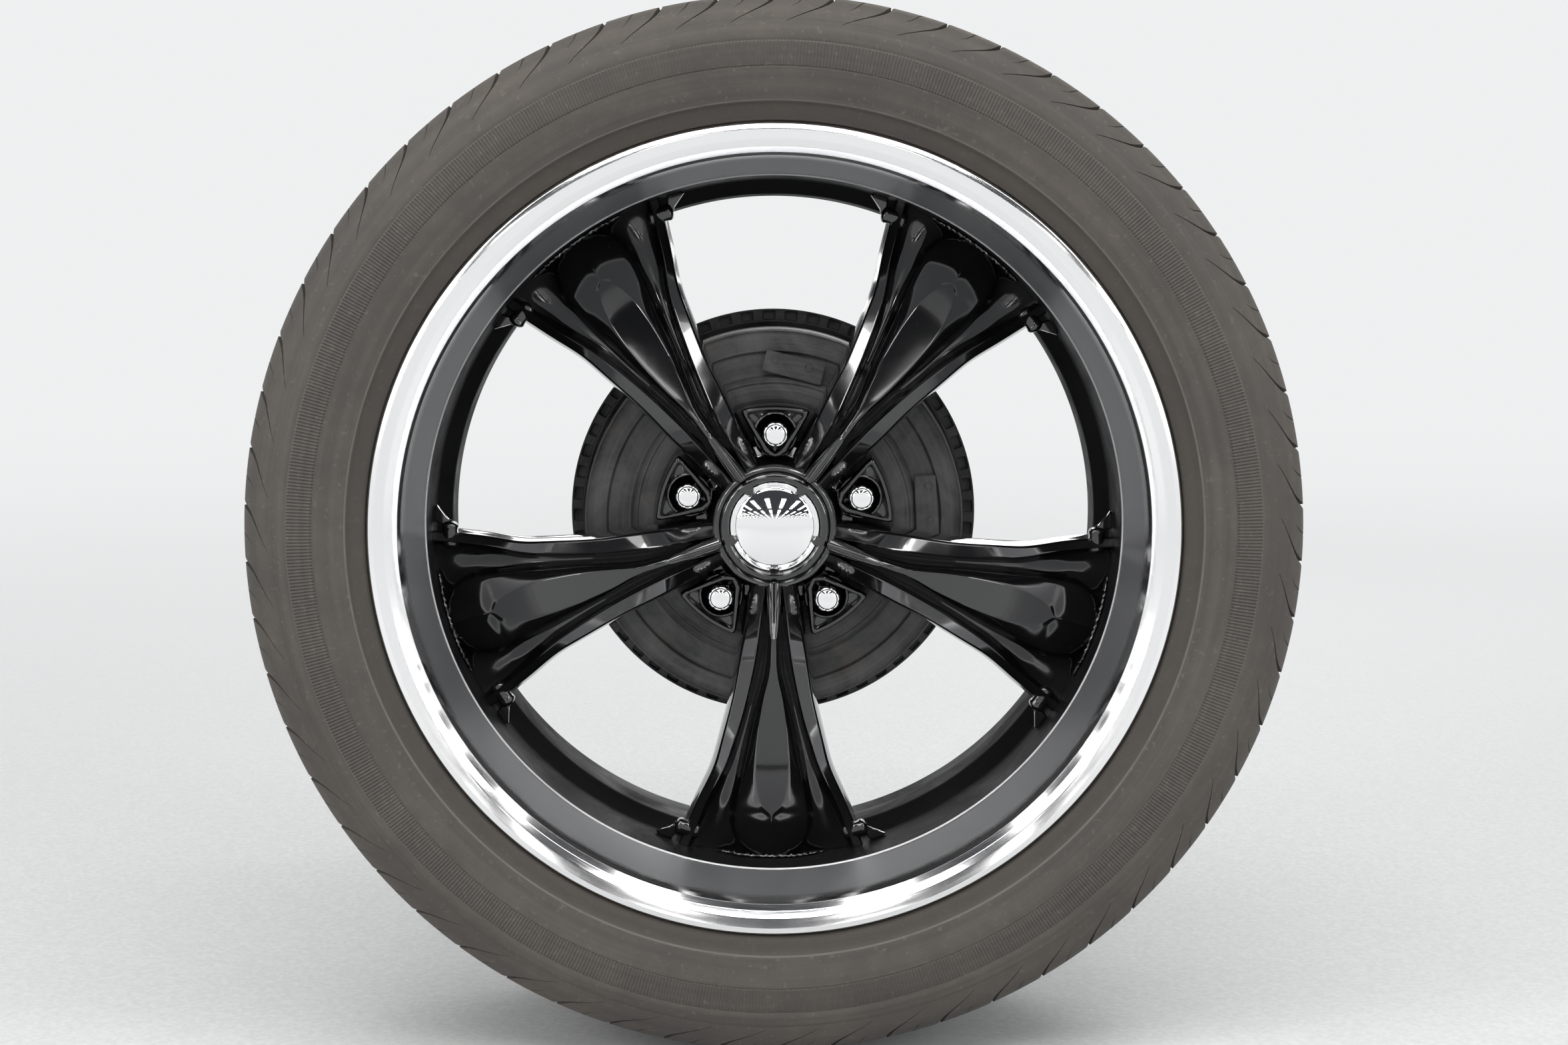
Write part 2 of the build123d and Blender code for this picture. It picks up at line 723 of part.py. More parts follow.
# Axle shaft: flange, pilot for the drum and wheel, bearing journal and splined end
with BuildPart() as axle_shaft:
    with BuildSketch(axial(0)):
        with BuildLine():
            pilot_at = flange_at - pilot_length
            flange_back = flange_at + shaft_flange_thickness
            journal_end = bearing_at + bearing_length + journal_margin
            shaft_end = axle_end_length + shaft_overhang
            Polyline(
                (pilot_at, 0),
                (pilot_at, pilot_radius - shaft_bevel),
                (pilot_at + shaft_bevel, pilot_radius),
                (flange_at, pilot_radius),
                (flange_at, shaft_flange_radius),
                (flange_back, shaft_flange_radius),
                (flange_back, shaft_cone_radius),
                (flange_back + shaft_cone_length, journal_radius + shaft_bevel),
                (seal_at - 2 * shaft_bevel, journal_radius),
                (journal_end, journal_radius),
                (journal_end + journal_slope, shaft_radius),
                (shaft_end - spline_length - spline_slope, shaft_radius),
                (shaft_end - spline_length, spline_radius),
                (shaft_end - shaft_bevel, spline_radius),
                (shaft_end, spline_radius - shaft_bevel),
                (shaft_end, 0),
                close=True,
            )
        make_face()
    revolve(axis=Axis.Y)
    with BuildSketch(facing(flange_at + shaft_flange_thickness)):
        with PolarLocations(bolt_circle_radius, spoke_count, start_angle=90 - rest_turn):
            Circle(stud_radius + seat_gap)
    extrude(amount=shaft_flange_thickness, mode=Mode.SUBTRACT)
    with BuildSketch(facing(axle_end_length + shaft_overhang)):
        with PolarLocations(spline_radius, spline_count):
            Rectangle(2 * spline_depth, spline_width)
    extrude(amount=spline_length, mode=Mode.SUBTRACT)
finish(axle_shaft, "axle_shaft")

# Axle tube
neck_end = housing_at + housing_neck_length
with BuildPart() as axle_tube:
    with BuildSketch(facing(axle_end_length)):
        Circle(tube_radius)
        Circle(tube_radius - tube_wall, mode=Mode.SUBTRACT)
    extrude(amount=axle_end_length - neck_end)
    with BuildSketch(facing(axle_end_length)):
        Circle(tube_radius)
        Circle(tube_seat_radius, mode=Mode.SUBTRACT)
    extrude(amount=tube_seat_length, mode=Mode.SUBTRACT)
finish(axle_tube, "axle_tube")

# Housing end: the flange that the backing plate is bolted to, and the neck round the bearing
with BuildPart() as housing_end:
    with BuildSketch(facing(neck_end)):
        Circle(housing_neck_radius)
    extrude(amount=housing_neck_length)
    with BuildSketch(facing(housing_at + housing_flange_thickness)):
        RectangleRounded(housing_flange_width, housing_flange_height, housing_corner)
    extrude(amount=housing_flange_thickness)
    with BuildSketch(facing(neck_end)):
        Circle(bearing_bore_radius)
    extrude(amount=housing_neck_length, mode=Mode.SUBTRACT)
    with BuildSketch(facing(housing_at)):
        with GridLocations(plate_bolt_spacing_x, plate_bolt_spacing_z, 2, 2):
            Circle(plate_bolt_radius + seat_gap)
    extrude(amount=-housing_flange_thickness, mode=Mode.SUBTRACT)
finish(housing_end, "housing_end")

# Wheel bearing and shaft seal, pressed in the housing end
with BuildPart() as wheel_bearing:
    with BuildSketch(facing(bearing_at)):
        Circle(bearing_bore_radius - seat_gap)
        Circle(journal_radius + running_gap, mode=Mode.SUBTRACT)
    extrude(amount=-bearing_length)
finish(wheel_bearing, "wheel_bearing")

with BuildPart() as shaft_seal:
    with BuildSketch(facing(seal_at)):
        Circle(bearing_bore_radius - seat_gap)
        Circle(journal_radius + seal_gap, mode=Mode.SUBTRACT)
    extrude(amount=-seal_length)
finish(shaft_seal, "shaft_seal")

# Backing plate: a pressed disc with a raised middle, a step and a turned rim
with BuildPart() as backing_plate:
    with BuildSketch(axial(plate_at)):
        with BuildLine():
            Polyline(
                (0, bearing_bore_radius + seat_gap),
                (0, plate_hub_radius),
                (plate_step, plate_ring_radius),
                (plate_step, plate_radius - plate_rim_width),
                (0, plate_radius - plate_rim_width / 2),
                (0, plate_radius),
                (plate_thickness, plate_radius),
                (plate_thickness + plate_step, plate_radius - plate_rim_width),
                (plate_thickness + plate_step, plate_ring_radius),
                (plate_thickness, plate_hub_radius),
                (plate_thickness, bearing_bore_radius + seat_gap),
                close=True,
            )
        make_face()
    revolve(axis=Axis.Y)
    with BuildSketch(facing(plate_at)):
        with GridLocations(plate_bolt_spacing_x, plate_bolt_spacing_z, 2, 2):
            Circle(plate_bolt_radius + seat_gap)
    extrude(amount=-plate_thickness, mode=Mode.SUBTRACT)
finish(backing_plate, "backing_plate")

# Bolts that hold the backing plate on the housing end
bolt_xs = [-plate_bolt_spacing_x / 2, plate_bolt_spacing_x / 2]
bolt_zs = [-plate_bolt_spacing_z / 2, plate_bolt_spacing_z / 2]
bolt_places = [(x, z) for z in bolt_zs for x in bolt_xs]
clamped_length = plate_thickness + housing_flange_thickness
for number, place in enumerate(bolt_places, start=1):
    with BuildPart() as plate_bolt:
        with BuildSketch(facing(plate_at)):
            with Locations(place):
                RegularPolygon(bolt_head_radius, 6)
        extrude(amount=bolt_head_thickness)
        with BuildSketch(facing(plate_at)):
            with Locations(place):
                Circle(plate_bolt_radius)
        extrude(amount=-(clamped_length + bolt_nut_thickness + bolt_tail))
        with BuildSketch(facing(plate_at + clamped_length)):
            with Locations(place):
                RegularPolygon(bolt_head_radius, 6)
        extrude(amount=-bolt_nut_thickness)
    finish(plate_bolt, f"plate_bolt_{number}")

# Wheel cylinder's back and bleeder, on the plate over the axle
cylinder_at = plate_at + plate_step + plate_thickness
with BuildPart() as wheel_cylinder:
    with BuildSketch(facing(cylinder_at)):
        with Locations((0, cylinder_height)):
            SlotCenterToCenter(cylinder_width, cylinder_body)
    extrude(amount=-cylinder_depth)
    with BuildSketch(facing(cylinder_at + cylinder_depth)):
        with Locations((-cylinder_width / 2, cylinder_height), (cylinder_width / 2, cylinder_height)):
            RegularPolygon(cylinder_bolt_radius, 6)
        with Locations((0, cylinder_height)):
            Circle(cylinder_bolt_radius)
    extrude(amount=-cylinder_bolt_height)
    with BuildSketch(facing(cylinder_at + cylinder_depth + cylinder_bolt_height)):
        with Locations((0, cylinder_height)):
            Circle(bleeder_radius)
    extrude(amount=-bleeder_length)
finish(wheel_cylinder, "wheel_cylinder")

# Spring perch: a saddle welded on top of the tube, with a flat pad and a locating hole
cheek_x = tube_radius + perch_wall
with BuildPart() as spring_perch:
    with BuildSketch(facing(perch_at + perch_length / 2)):
        with BuildLine():
            Polyline(
                (-perch_width / 2, perch_height),
                (-perch_width / 2, perch_height - perch_lip),
                (-cheek_x, perch_cheek_top),
                (-cheek_x, perch_cheek_end),
                (cheek_x, perch_cheek_end),
                (cheek_x, perch_cheek_top),
                (perch_width / 2, perch_height - perch_lip),
                (perch_width / 2, perch_height),
                close=True,
            )
        make_face()
        Circle(tube_radius + seat_gap, mode=Mode.SUBTRACT)
        with Locations((0, -tube_radius)):
            Rectangle(2 * (tube_radius + seat_gap), 2 * tube_radius, mode=Mode.SUBTRACT)
    extrude(amount=perch_length)
    with BuildSketch(Plane.XY.offset(perch_height)):
        with Locations((0, lip_face_y + perch_at)):
            Circle(perch_hole_radius)
    extrude(amount=-(perch_height - tube_radius - perch_hole_floor), mode=Mode.SUBTRACT)
finish(spring_perch, "spring_perch")
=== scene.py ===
from math import cos, degrees, pi, radians, sin, sqrt, tan

import bmesh
import bpy
import numpy as np
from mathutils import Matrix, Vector


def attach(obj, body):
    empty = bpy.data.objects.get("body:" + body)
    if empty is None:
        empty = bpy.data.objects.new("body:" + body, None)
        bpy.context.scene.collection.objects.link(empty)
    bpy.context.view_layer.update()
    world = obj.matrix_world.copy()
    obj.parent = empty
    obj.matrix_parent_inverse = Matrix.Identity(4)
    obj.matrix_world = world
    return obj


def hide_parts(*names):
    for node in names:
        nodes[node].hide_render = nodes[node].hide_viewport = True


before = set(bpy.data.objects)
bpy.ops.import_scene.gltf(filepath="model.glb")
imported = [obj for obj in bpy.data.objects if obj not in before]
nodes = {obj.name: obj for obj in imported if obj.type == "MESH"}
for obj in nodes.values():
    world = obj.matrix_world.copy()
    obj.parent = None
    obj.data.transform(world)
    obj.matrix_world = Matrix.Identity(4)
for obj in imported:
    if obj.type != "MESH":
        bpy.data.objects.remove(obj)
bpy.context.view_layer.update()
print("frame loaded,", len(nodes), "nodes")

# Stations are millimetres inboard from the rim's outer face, as in the CAD
faceY = -460.0
boltRadius = 63.5
nutAngle = 0.6  # the first nut stands this far clockwise of the top
spokeAngle = nutAngle + 36


def placeObject(name, data):
    placed = bpy.data.objects.new(name, data)
    bpy.context.scene.collection.objects.link(placed)
    return placed


def smoothMesh(mesh, angle):
    mesh.polygons.foreach_set("use_smooth", [True] * len(mesh.polygons))
    mesh.set_sharp_from_angle(angle=radians(angle))


def makePiece(name, points, faces, finishes, finishOf=None, smooth=32):
    # points in millimetres: across, station, up
    mesh = bpy.data.meshes.new(name)
    mesh.from_pydata([(x * 0.001, (station + faceY) * 0.001, z * 0.001) for x, station, z in points], [], faces)
    for finish in finishes:
        mesh.materials.append(finish)
    if finishOf:
        mesh.polygons.foreach_set("material_index", np.array(finishOf, dtype=np.int32))
    work = bmesh.new()
    work.from_mesh(mesh)
    bmesh.ops.remove_doubles(work, verts=work.verts, dist=1e-6)
    bmesh.ops.recalc_face_normals(work, faces=work.faces)
    work.to_mesh(mesh)
    work.free()
    smoothMesh(mesh, smooth)
    mesh.update()
    return placeObject(name, mesh)


def around(radius, station, turn, up=0):
    # a point round the axle, or round a line that lies up from it; turn in radians from the top
    return radius * sin(turn), station, up + radius * cos(turn)


def turned(across, up, clockwise):
    # a point seen from outboard, turned clockwise about the axle
    a = radians(clockwise)
    return across * cos(a) + up * sin(a), -across * sin(a) + up * cos(a)


def rounded(outline, steps=3):
    # a closed outline of (station, radius, fillet); each corner with a fillet becomes an arc
    path = []
    for n, (*corner, fillet) in enumerate(outline):
        here = np.array(corner, dtype=float)
        if fillet <= 0:
            path.append(tuple(here))
            continue
        back = np.array(outline[n - 1][:2], dtype=float) - here
        ahead = np.array(outline[(n + 1) % len(outline)][:2], dtype=float) - here
        backLength, aheadLength = np.linalg.norm(back), np.linalg.norm(ahead)
        back, ahead = back / backLength, ahead / aheadLength
        half = np.arccos(np.clip(back @ ahead, -1, 1)) / 2
        if half > radians(88):
            path.append(tuple(here))
            continue
        reach = min(fillet / tan(half), 0.45 * backLength, 0.45 * aheadLength)
        size = reach * tan(half)
        bisector = (back + ahead) / np.linalg.norm(back + ahead)
        centre = here + bisector * size / sin(half)
        first, last = here + back * reach - centre, here + ahead * reach - centre
        sweep = np.arccos(np.clip(first @ last / size**2, -1, 1))
        for k in range(steps + 1):
            t = k / steps
            arm = (sin((1 - t) * sweep) * first + sin(t * sweep) * last) / sin(sweep)
            path.append(tuple(centre + arm))
    return path


def revolve(name, outline, finishes, turns=192, fillets=3, smooth=32, changeAt=None):
    # spins a closed outline round the axle; past the station changeAt the second finish takes over
    path = rounded(outline, fillets)
    rows = len(path)
    points = [around(radius, station, 2 * pi * k / turns) for k in range(turns) for station, radius in path]
    faces, finishOf = [], []
    for k in range(turns):
        here, there = k * rows, (k + 1) % turns * rows
        for n in range(rows):
            m = (n + 1) % rows
            face = [here + n, here + m, there + m, there + n]
            if path[n][1] < 1e-6 and path[m][1] < 1e-6:
                continue
            if path[n][1] < 1e-6:
                del face[3]
            elif path[m][1] < 1e-6:
                del face[2]
            faces.append(face)
            if changeAt:
                finishOf.append(int((path[n][0] + path[m][0]) / 2 > changeAt))
    return makePiece(name, points, faces, finishes, finishOf, smooth)


def loopsToSolid(name, loops, finish, capEnds=True, smooth=32, closedLoops=True):
    # loops: equally long lists of points, joined one to the next
    size = len(loops[0])
    points = [p for loop in loops for p in loop]
    faces = []
    for n in range(0, len(points) - size, size):
        for k in range(size if closedLoops else size - 1):
            m = (k + 1) % size
            faces.append((n + k, n + m, n + size + m, n + size + k))
    if capEnds:
        faces += [tuple(range(size)), tuple(reversed(range(len(points) - size, len(points))))]
    return makePiece(name, points, faces, [finish], None, smooth)


def feed(socket, value):
    # links another node's output, or sets a value that is the same all over
    if isinstance(value, bpy.types.NodeSocket):
        socket.id_data.links.new(value, socket)
    else:
        socket.default_value = value


def addNode(tree, kind, values=None, **settings):
    made = tree.nodes.new(kind)
    for key, value in settings.items():
        setattr(made, key, value)
    for key, value in (values or {}).items():
        feed(made.inputs[key], value)
    return made


def mathNode(operation, *values):
    tree = next(value.id_data for value in values if isinstance(value, bpy.types.NodeSocket))
    return addNode(tree, "ShaderNodeMath", dict(enumerate(values)), operation=operation).outputs[0]


def times(first, second):
    return mathNode("MULTIPLY", first, second)


def plus(first, second):
    return mathNode("ADD", first, second)


def ringTree():
    # Geometry Nodes: one shape repeated round the axle
    tree = bpy.data.node_groups.new("RoundTheAxle", "GeometryNodeTree")
    for name, kind in (("Shape", "Object"), ("Count", "Int"), ("First Angle", "Float"),
                       ("Merge Distance", "Float"), ("Finish", "Material")):
        tree.interface.new_socket(name, in_out="INPUT", socket_type="NodeSocket" + kind)
    tree.interface.new_socket("Geometry", in_out="OUTPUT", socket_type="NodeSocketGeometry")
    given = addNode(tree, "NodeGroupInput").outputs
    share = mathNode("DIVIDE", addNode(tree, "GeometryNodeInputIndex").outputs[0], given["Count"])
    turn = plus(times(share, 2 * pi), given["First Angle"])
    about = addNode(tree, "ShaderNodeCombineXYZ", {"Y": turn}).outputs[0]
    made = addNode(tree, "GeometryNodeInstanceOnPoints", {
        "Points": addNode(tree, "GeometryNodePoints", {"Count": given["Count"]}).outputs[0],
        "Instance": addNode(tree, "GeometryNodeObjectInfo", {"Object": given["Shape"]}).outputs["Geometry"],
        "Rotation": addNode(tree, "FunctionNodeEulerToRotation", {0: about}).outputs[0],
    }).outputs[0]
    for kind, values in (("RealizeInstances", {}), ("MergeByDistance", {"Distance": given["Merge Distance"]}),
                         ("SetMaterial", {"Material": given["Finish"]})):
        made = addNode(tree, "GeometryNode" + kind, {"Geometry": made, **values}).outputs[0]
    addNode(tree, "NodeGroupOutput", {0: made})
    return tree


ringRule = ringTree()


def ringOf(name, shape, count, firstAngle=0, merge=0, smooth=32):
    # points closer than merge, in millimetres, become one
    holder = placeObject(name, bpy.data.meshes.new(name + "_seed"))
    repeat = holder.modifiers.new("Repeat", "NODES")
    repeat.node_group = ringRule
    values = {"Shape": shape, "Count": count, "First Angle": radians(firstAngle),
              "Merge Distance": merge * 0.001, "Finish": shape.data.materials[0]}
    for socket in ringRule.interface.items_tree:
        if socket.in_out == "INPUT":
            repeat[socket.identifier] = values[socket.name]
    depsgraph = bpy.context.evaluated_depsgraph_get()
    mesh = bpy.data.meshes.new_from_object(holder.evaluated_get(depsgraph), depsgraph=depsgraph)
    mesh.name = name
    holder.modifiers.remove(repeat)
    holder.data = mesh
    bpy.data.objects.remove(shape)
    smoothMesh(mesh, smooth)
    return holder


def joined(name, pieces):
    # several pieces with the same finish as one
    work = bmesh.new()
    finish = pieces[0].data.materials[0]
    for piece in pieces:
        work.from_mesh(piece.data)
        bpy.data.objects.remove(piece)
    mesh = bpy.data.meshes.new(name)
    work.to_mesh(mesh)
    work.free()
    mesh.materials.append(finish)
    return placeObject(name, mesh)


def newFinish(name, **values):
    # also gives the tree and the shader's sockets
    finish = bpy.data.materials.new(name)
    finish.use_nodes = True
    shader = finish.node_tree.nodes["Principled BSDF"].inputs
    for key, value in values.items():
        shader[key.replace("_", " ")].default_value = value
    return finish, finish.node_tree, shader


def objectPlace(tree):
    return addNode(tree, "ShaderNodeTexCoord").outputs["Object"]


def polar(tree):
    # radius, clockwise angle and station of a point, in metres and radians
    x, y, z = addNode(tree, "ShaderNodeSeparateXYZ", {0: objectPlace(tree)}).outputs
    square = plus(times(x, x), times(z, z))
    return mathNode("SQRT", square), mathNode("ARCTAN2", x, z), y


def noise(vector, scale, detail=4, roughness=0.55, distortion=0):
    return addNode(vector.id_data, "ShaderNodeTexNoise", {
        "Vector": vector, "Scale": scale, "Detail": detail, "Roughness": roughness, "Distortion": distortion,
    }).outputs[0]


def ringNoise(across, along, detail, roughness):
    # noise drawn out round the axle, by places across and along the rings
    where = addNode(across.id_data, "ShaderNodeCombineXYZ", {0: across, 1: along})
    return noise(where.outputs[0], 1, detail, roughness)


def ramp(value, low, high, interpolation="LINEAR"):
    # low and high are (value, grey)
    made = addNode(value.id_data, "ShaderNodeValToRGB", {0: value})
    made.color_ramp.interpolation = interpolation
    for element, (where, grey) in zip(made.color_ramp.elements, (low, high)):
        element.position, element.color = where, (grey, grey, grey, 1)
    return made.outputs[0]


def mixColour(share, first, second):
    first, second = ((*c, 1) if isinstance(c, tuple) else c for c in (first, second))
    return addNode(share.id_data, "ShaderNodeMix", {0: share, 6: first, 7: second}, data_type="RGBA").outputs[2]


def bump(shader, *layers):
    # layers of (height, strength, distance in metres), one on top of the other
    below = {}
    for height, strength, distance in layers:
        values = {"Height": height, "Strength": strength, "Distance": distance, **below}
        below = {"Normal": addNode(height.id_data, "ShaderNodeBump", values).outputs[0]}
    feed(shader["Normal"], below["Normal"])


def mapRange(value, low, high, toLow=0, toHigh=1, **settings):
    values = {0: value, "From Min": low, "From Max": high, "To Min": toLow, "To Max": toHigh}
    return addNode(value.id_data, "ShaderNodeMapRange", values, **settings).outputs[0]


def band(value, low, high, soft):
    # 1 between low and high, falling to 0 over soft
    rise = mapRange(value, low - soft, low)
    return times(rise, mapRange(value, high, high + soft, 1, 0))


rubberLook = {
    "colour": (0.058, 0.052, 0.047),
    "worn": (0.045, 0.042, 0.040),
    "recessShade": (0.040, 0.034, 0.028),  # painted shade: a darker ring on the sidewall beside the rim, where shade falls
    "dust": (0.127, 0.110, 0.093),
    "specks": (0.17, 0.155, 0.135),
    "rubbed": (0.160, 0.142, 0.122),
    "ribs": 900,  # round the tyre
    # below, in metres, the stations of the outer side, and radii
    "side": (-0.50, -0.44),
    "recessShadeBand": (0.250, 0.2858),
    "edgeWear": ((0.2867, 0.2874), (0.3084, 0.3090), (0.3250, 0.3255)),
    "ribbedBand": (0.3085, 0.3250),
}


def makeRubber(look):
    finish, tree, shader = newFinish("tyreRubber", Specular_IOR_Level=0.35)
    radius, angle, station = polar(tree)
    where = objectPlace(tree)
    cloud = noise(where, 9, 6, 0.6, 0.4)
    mottled = noise(where, 70, 5, 0.6)
    # rings worn and dusted by turning
    rings = ringNoise(times(radius, 160), times(angle, 0.5), 5, 0.65)
    dusty = ramp(times(plus(cloud, rings), 0.5), (0.38, 0), (0.66, 0.75))
    base = mixColour(dusty, look["colour"], look["dust"])
    specks = ramp(noise(where, 260, 2, 0.5), (0.62, 0), (0.74, 0.35))
    base = mixColour(specks, base, look["specks"])
    base = mixColour(ramp(mottled, (0.35, 0), (0.7, 0.3)), base, look["worn"])
    # painted shade: the ring of sidewall beside the rim is mixed darker, for the shade that falls in it
    side = band(station, *look["side"], 0.004)
    recessShade = times(band(radius, *look["recessShadeBand"], 0.0012), side)
    base = mixColour(times(recessShade, 0.55), base, look["recessShade"])
    rubbed = 0.0
    for low, high in look["edgeWear"]:
        rubbed = plus(band(radius, low, high, 0.0004), rubbed)
    rubbed = times(times(rubbed, side), plus(mottled, 0.1))
    feed(shader["Base Color"], mixColour(rubbed, base, look["rubbed"]))
    feed(shader["Roughness"], ramp(dusty, (0, 0.60), (1, 0.86)))
    mask = band(radius, *look["ribbedBand"], 0.0006)
    wave = mathNode("SINE", times(angle, look["ribs"]))
    ribs = times(times(wave, mask), side)
    grain, fine = noise(where, 900, 3, 0.6), noise(where, 2600, 2, 0.5)
    bump(shader, (rings, 0.35, 0.0004), (ribs, 0.85, 0.00035), (grain, 0.5, 0.00025), (fine, 0.4, 0.0001))
    return finish


polishLook = {
    "colour": (0.93, 0.93, 0.935),
    "wallPaintedShade": (0.46, 0.465, 0.48),
    "roughness": (0.09, 0.17),  # where buffed best and least
    "brushed": 0.34,  # more of it on the lip's wall and on the fine bead at its inner end
    "brushedFrom": (-0.4490, -0.4340),  # stations, in metres
    "brushedTo": -0.3985,
    "bead": (-0.3968, -0.3934),
    "lines": 5200,
}


def makePolishedAlloy(look):
    finish, tree, shader = newFinish("polishedAlloy", Metallic=1)
    radius, angle, station = polar(tree)
    # turning and buffing marks follow the rim round
    across = plus(times(radius, look["lines"]), times(station, look["lines"] * 0.6))
    marks = ringNoise(across, times(angle, 4), 3, 0.6)
    smears = noise(objectPlace(tree), 26, 5, 0.6, 1.2)
    rough = mapRange(plus(times(marks, 0.65), times(smears, 0.35)), 0.35, 0.75, *look["roughness"])
    rise = mapRange(station, *look["brushedFrom"], interpolation_type="SMOOTHSTEP")
    wall = times(rise, band(station, -0.5, look["brushedTo"], 0.002))
    bead = band(station, *look["bead"], 0.0004)
    feed(shader["Roughness"], plus(rough, times(plus(wall, bead), look["brushed"])))
    # painted shade: the lip's wall gets a much darker colour than the polish, standing in for the darker reflection it
    # shows
    feed(shader["Base Color"], mixColour(wall, look["colour"], look["wallPaintedShade"]))
    bump(shader, (marks, 0.10, 0.00002), (smears, 0.018, 0.0004))
    return finish


def makeBlackPaint(name, roughness, peel, dust, coat, specular):
    finish, tree, shader = newFinish(name, Coat_Weight=coat, Coat_Roughness=0.03, Specular_IOR_Level=specular)
    where = objectPlace(tree)
    film = noise(where, 14, 6, 0.65, 0.6)
    specks = ramp(noise(where, 520, 2, 0.5), (0.70, 0), (0.78, 1))
    dusty = times(specks, ramp(film, (0.4, 0), (0.75, dust)))
    feed(shader["Base Color"], mixColour(dusty, (0.0045, 0.0045, 0.005), (0.14, 0.135, 0.13)))
    feed(shader["Roughness"], ramp(film, (0.3, roughness), (0.8, roughness * 2.4)))
    bump(shader, (noise(where, 190, 2, 0.5), peel, 0.0002))
    return finish


def makeChrome():
    finish, tree, shader = newFinish("chrome", Metallic=1, Base_Color=(0.95, 0.95, 0.955, 1))
    where = objectPlace(tree)
    feed(shader["Roughness"], ramp(noise(where, 60, 4, 0.6), (0.35, 0.018), (0.8, 0.075)))
    bump(shader, (noise(where, 240, 2), 0.04, 0.0002))
    return finish


def makeCastIron(name, dark, light, rust, roughness):
    finish, tree, shader = newFinish(name, Specular_IOR_Level=0.4)
    radius, angle, station = polar(tree)
    where = objectPlace(tree)
    coarse = noise(where, 24, 7, 0.62, 0.5)
    fine = noise(where, 420, 4, 0.6)
    rings = ringNoise(times(radius, 420), times(angle, 0.7), 4, 0.6)
    shade = mixColour(ramp(coarse, (0.35, 0), (0.72, 1)), dark, light)
    shade = mixColour(ramp(rings, (0.45, 0), (0.8, 0.55)), shade, light)
    rusty = ramp(noise(where, 46, 6, 0.68), (0.55, 0), (0.72, 1))
    feed(shader["Base Color"], mixColour(times(rusty, 0.5), shade, rust))
    feed(shader["Roughness"], ramp(fine, (0.3, roughness - 0.12), (0.8, roughness + 0.1)))
    bump(shader, (coarse, 0.2, 0.0008), (fine, 0.55, 0.0003))
    return finish


def makeMetal(name, colour, metallic, roughness, scale):
    finish, tree, shader = newFinish(name, Metallic=metallic)
    where = objectPlace(tree)
    cloud = ramp(noise(where, scale * 0.12, 6, 0.6, 0.4), (0.32, 0), (0.7, 1))
    grain = noise(where, scale, 4, 0.6)
    stain = ramp(noise(where, scale * 0.3, 6, 0.7), (0.6, 0), (0.78, 0.5))
    shade = mixColour(cloud, tuple(c * 0.62 for c in colour), colour)
    feed(shader["Base Color"], mixColour(stain, shade, (0.08, 0.06, 0.045)))
    feed(shader["Roughness"], ramp(grain, (0.3, roughness - 0.1), (0.75, roughness + 0.1)))
    bump(shader, (grain, 0.4, 0.0001))
    return finish


rubber = makeRubber(rubberLook)
polished = makePolishedAlloy(polishLook)
# roughness, orange peel, dust, coat, specular level
glossBlack = makeBlackPaint("glossBlack", 0.06, 0.05, 0.5, 0.6, 0.75)
barrelBlack = makeBlackPaint("barrelBlack", 0.36, 0.12, 0.4, 0, 0.12)
chrome = makeChrome()
# dark, light, rust, roughness
castIron = makeCastIron("castIron", (0.036, 0.036, 0.037), (0.145, 0.143, 0.143), (0.110, 0.090, 0.072), 0.56)
axlePaint = makeCastIron("axlePaint", (0.028, 0.028, 0.029), (0.078, 0.075, 0.072), (0.115, 0.066, 0.038), 0.50)
pressedBlack = makeCastIron("pressedBlack", (0.024, 0.024, 0.025), (0.064, 0.063, 0.061), (0.10, 0.06, 0.036), 0.44)
# colour, metallic, roughness, grain scale
plated = makeMetal("platedSteel", (0.34, 0.33, 0.30), 0.9, 0.42, 160)
forged = makeMetal("forgedSteel", (0.36, 0.35, 0.34), 1, 0.34, 220)
plainRubber = makeMetal("blackRubber", (0.030, 0.029, 0.028), 0, 0.6, 300)
print("finishes made")


tyreShape = {
    "radius": 364,
    "width": 265,
    "crownReach": 118,  # from the tread's middle to the shoulder
    "crownDrop": 7,
    "treadFrom": 15.5,
    "pitches": 58,
    "slitLean": 5,  # degrees that a shoulder slit's tail trails its notch
    "slitDepth": 5.5,
    "slitWidth": 3.6,
    "sipeDepth": 2.6,
    "sipeWidth": 0.9,
    "grooves": (60.5, 108.5, 156.5, 204.5),
    "grooveWidth": 9,
    "grooveDepth": 8,
}


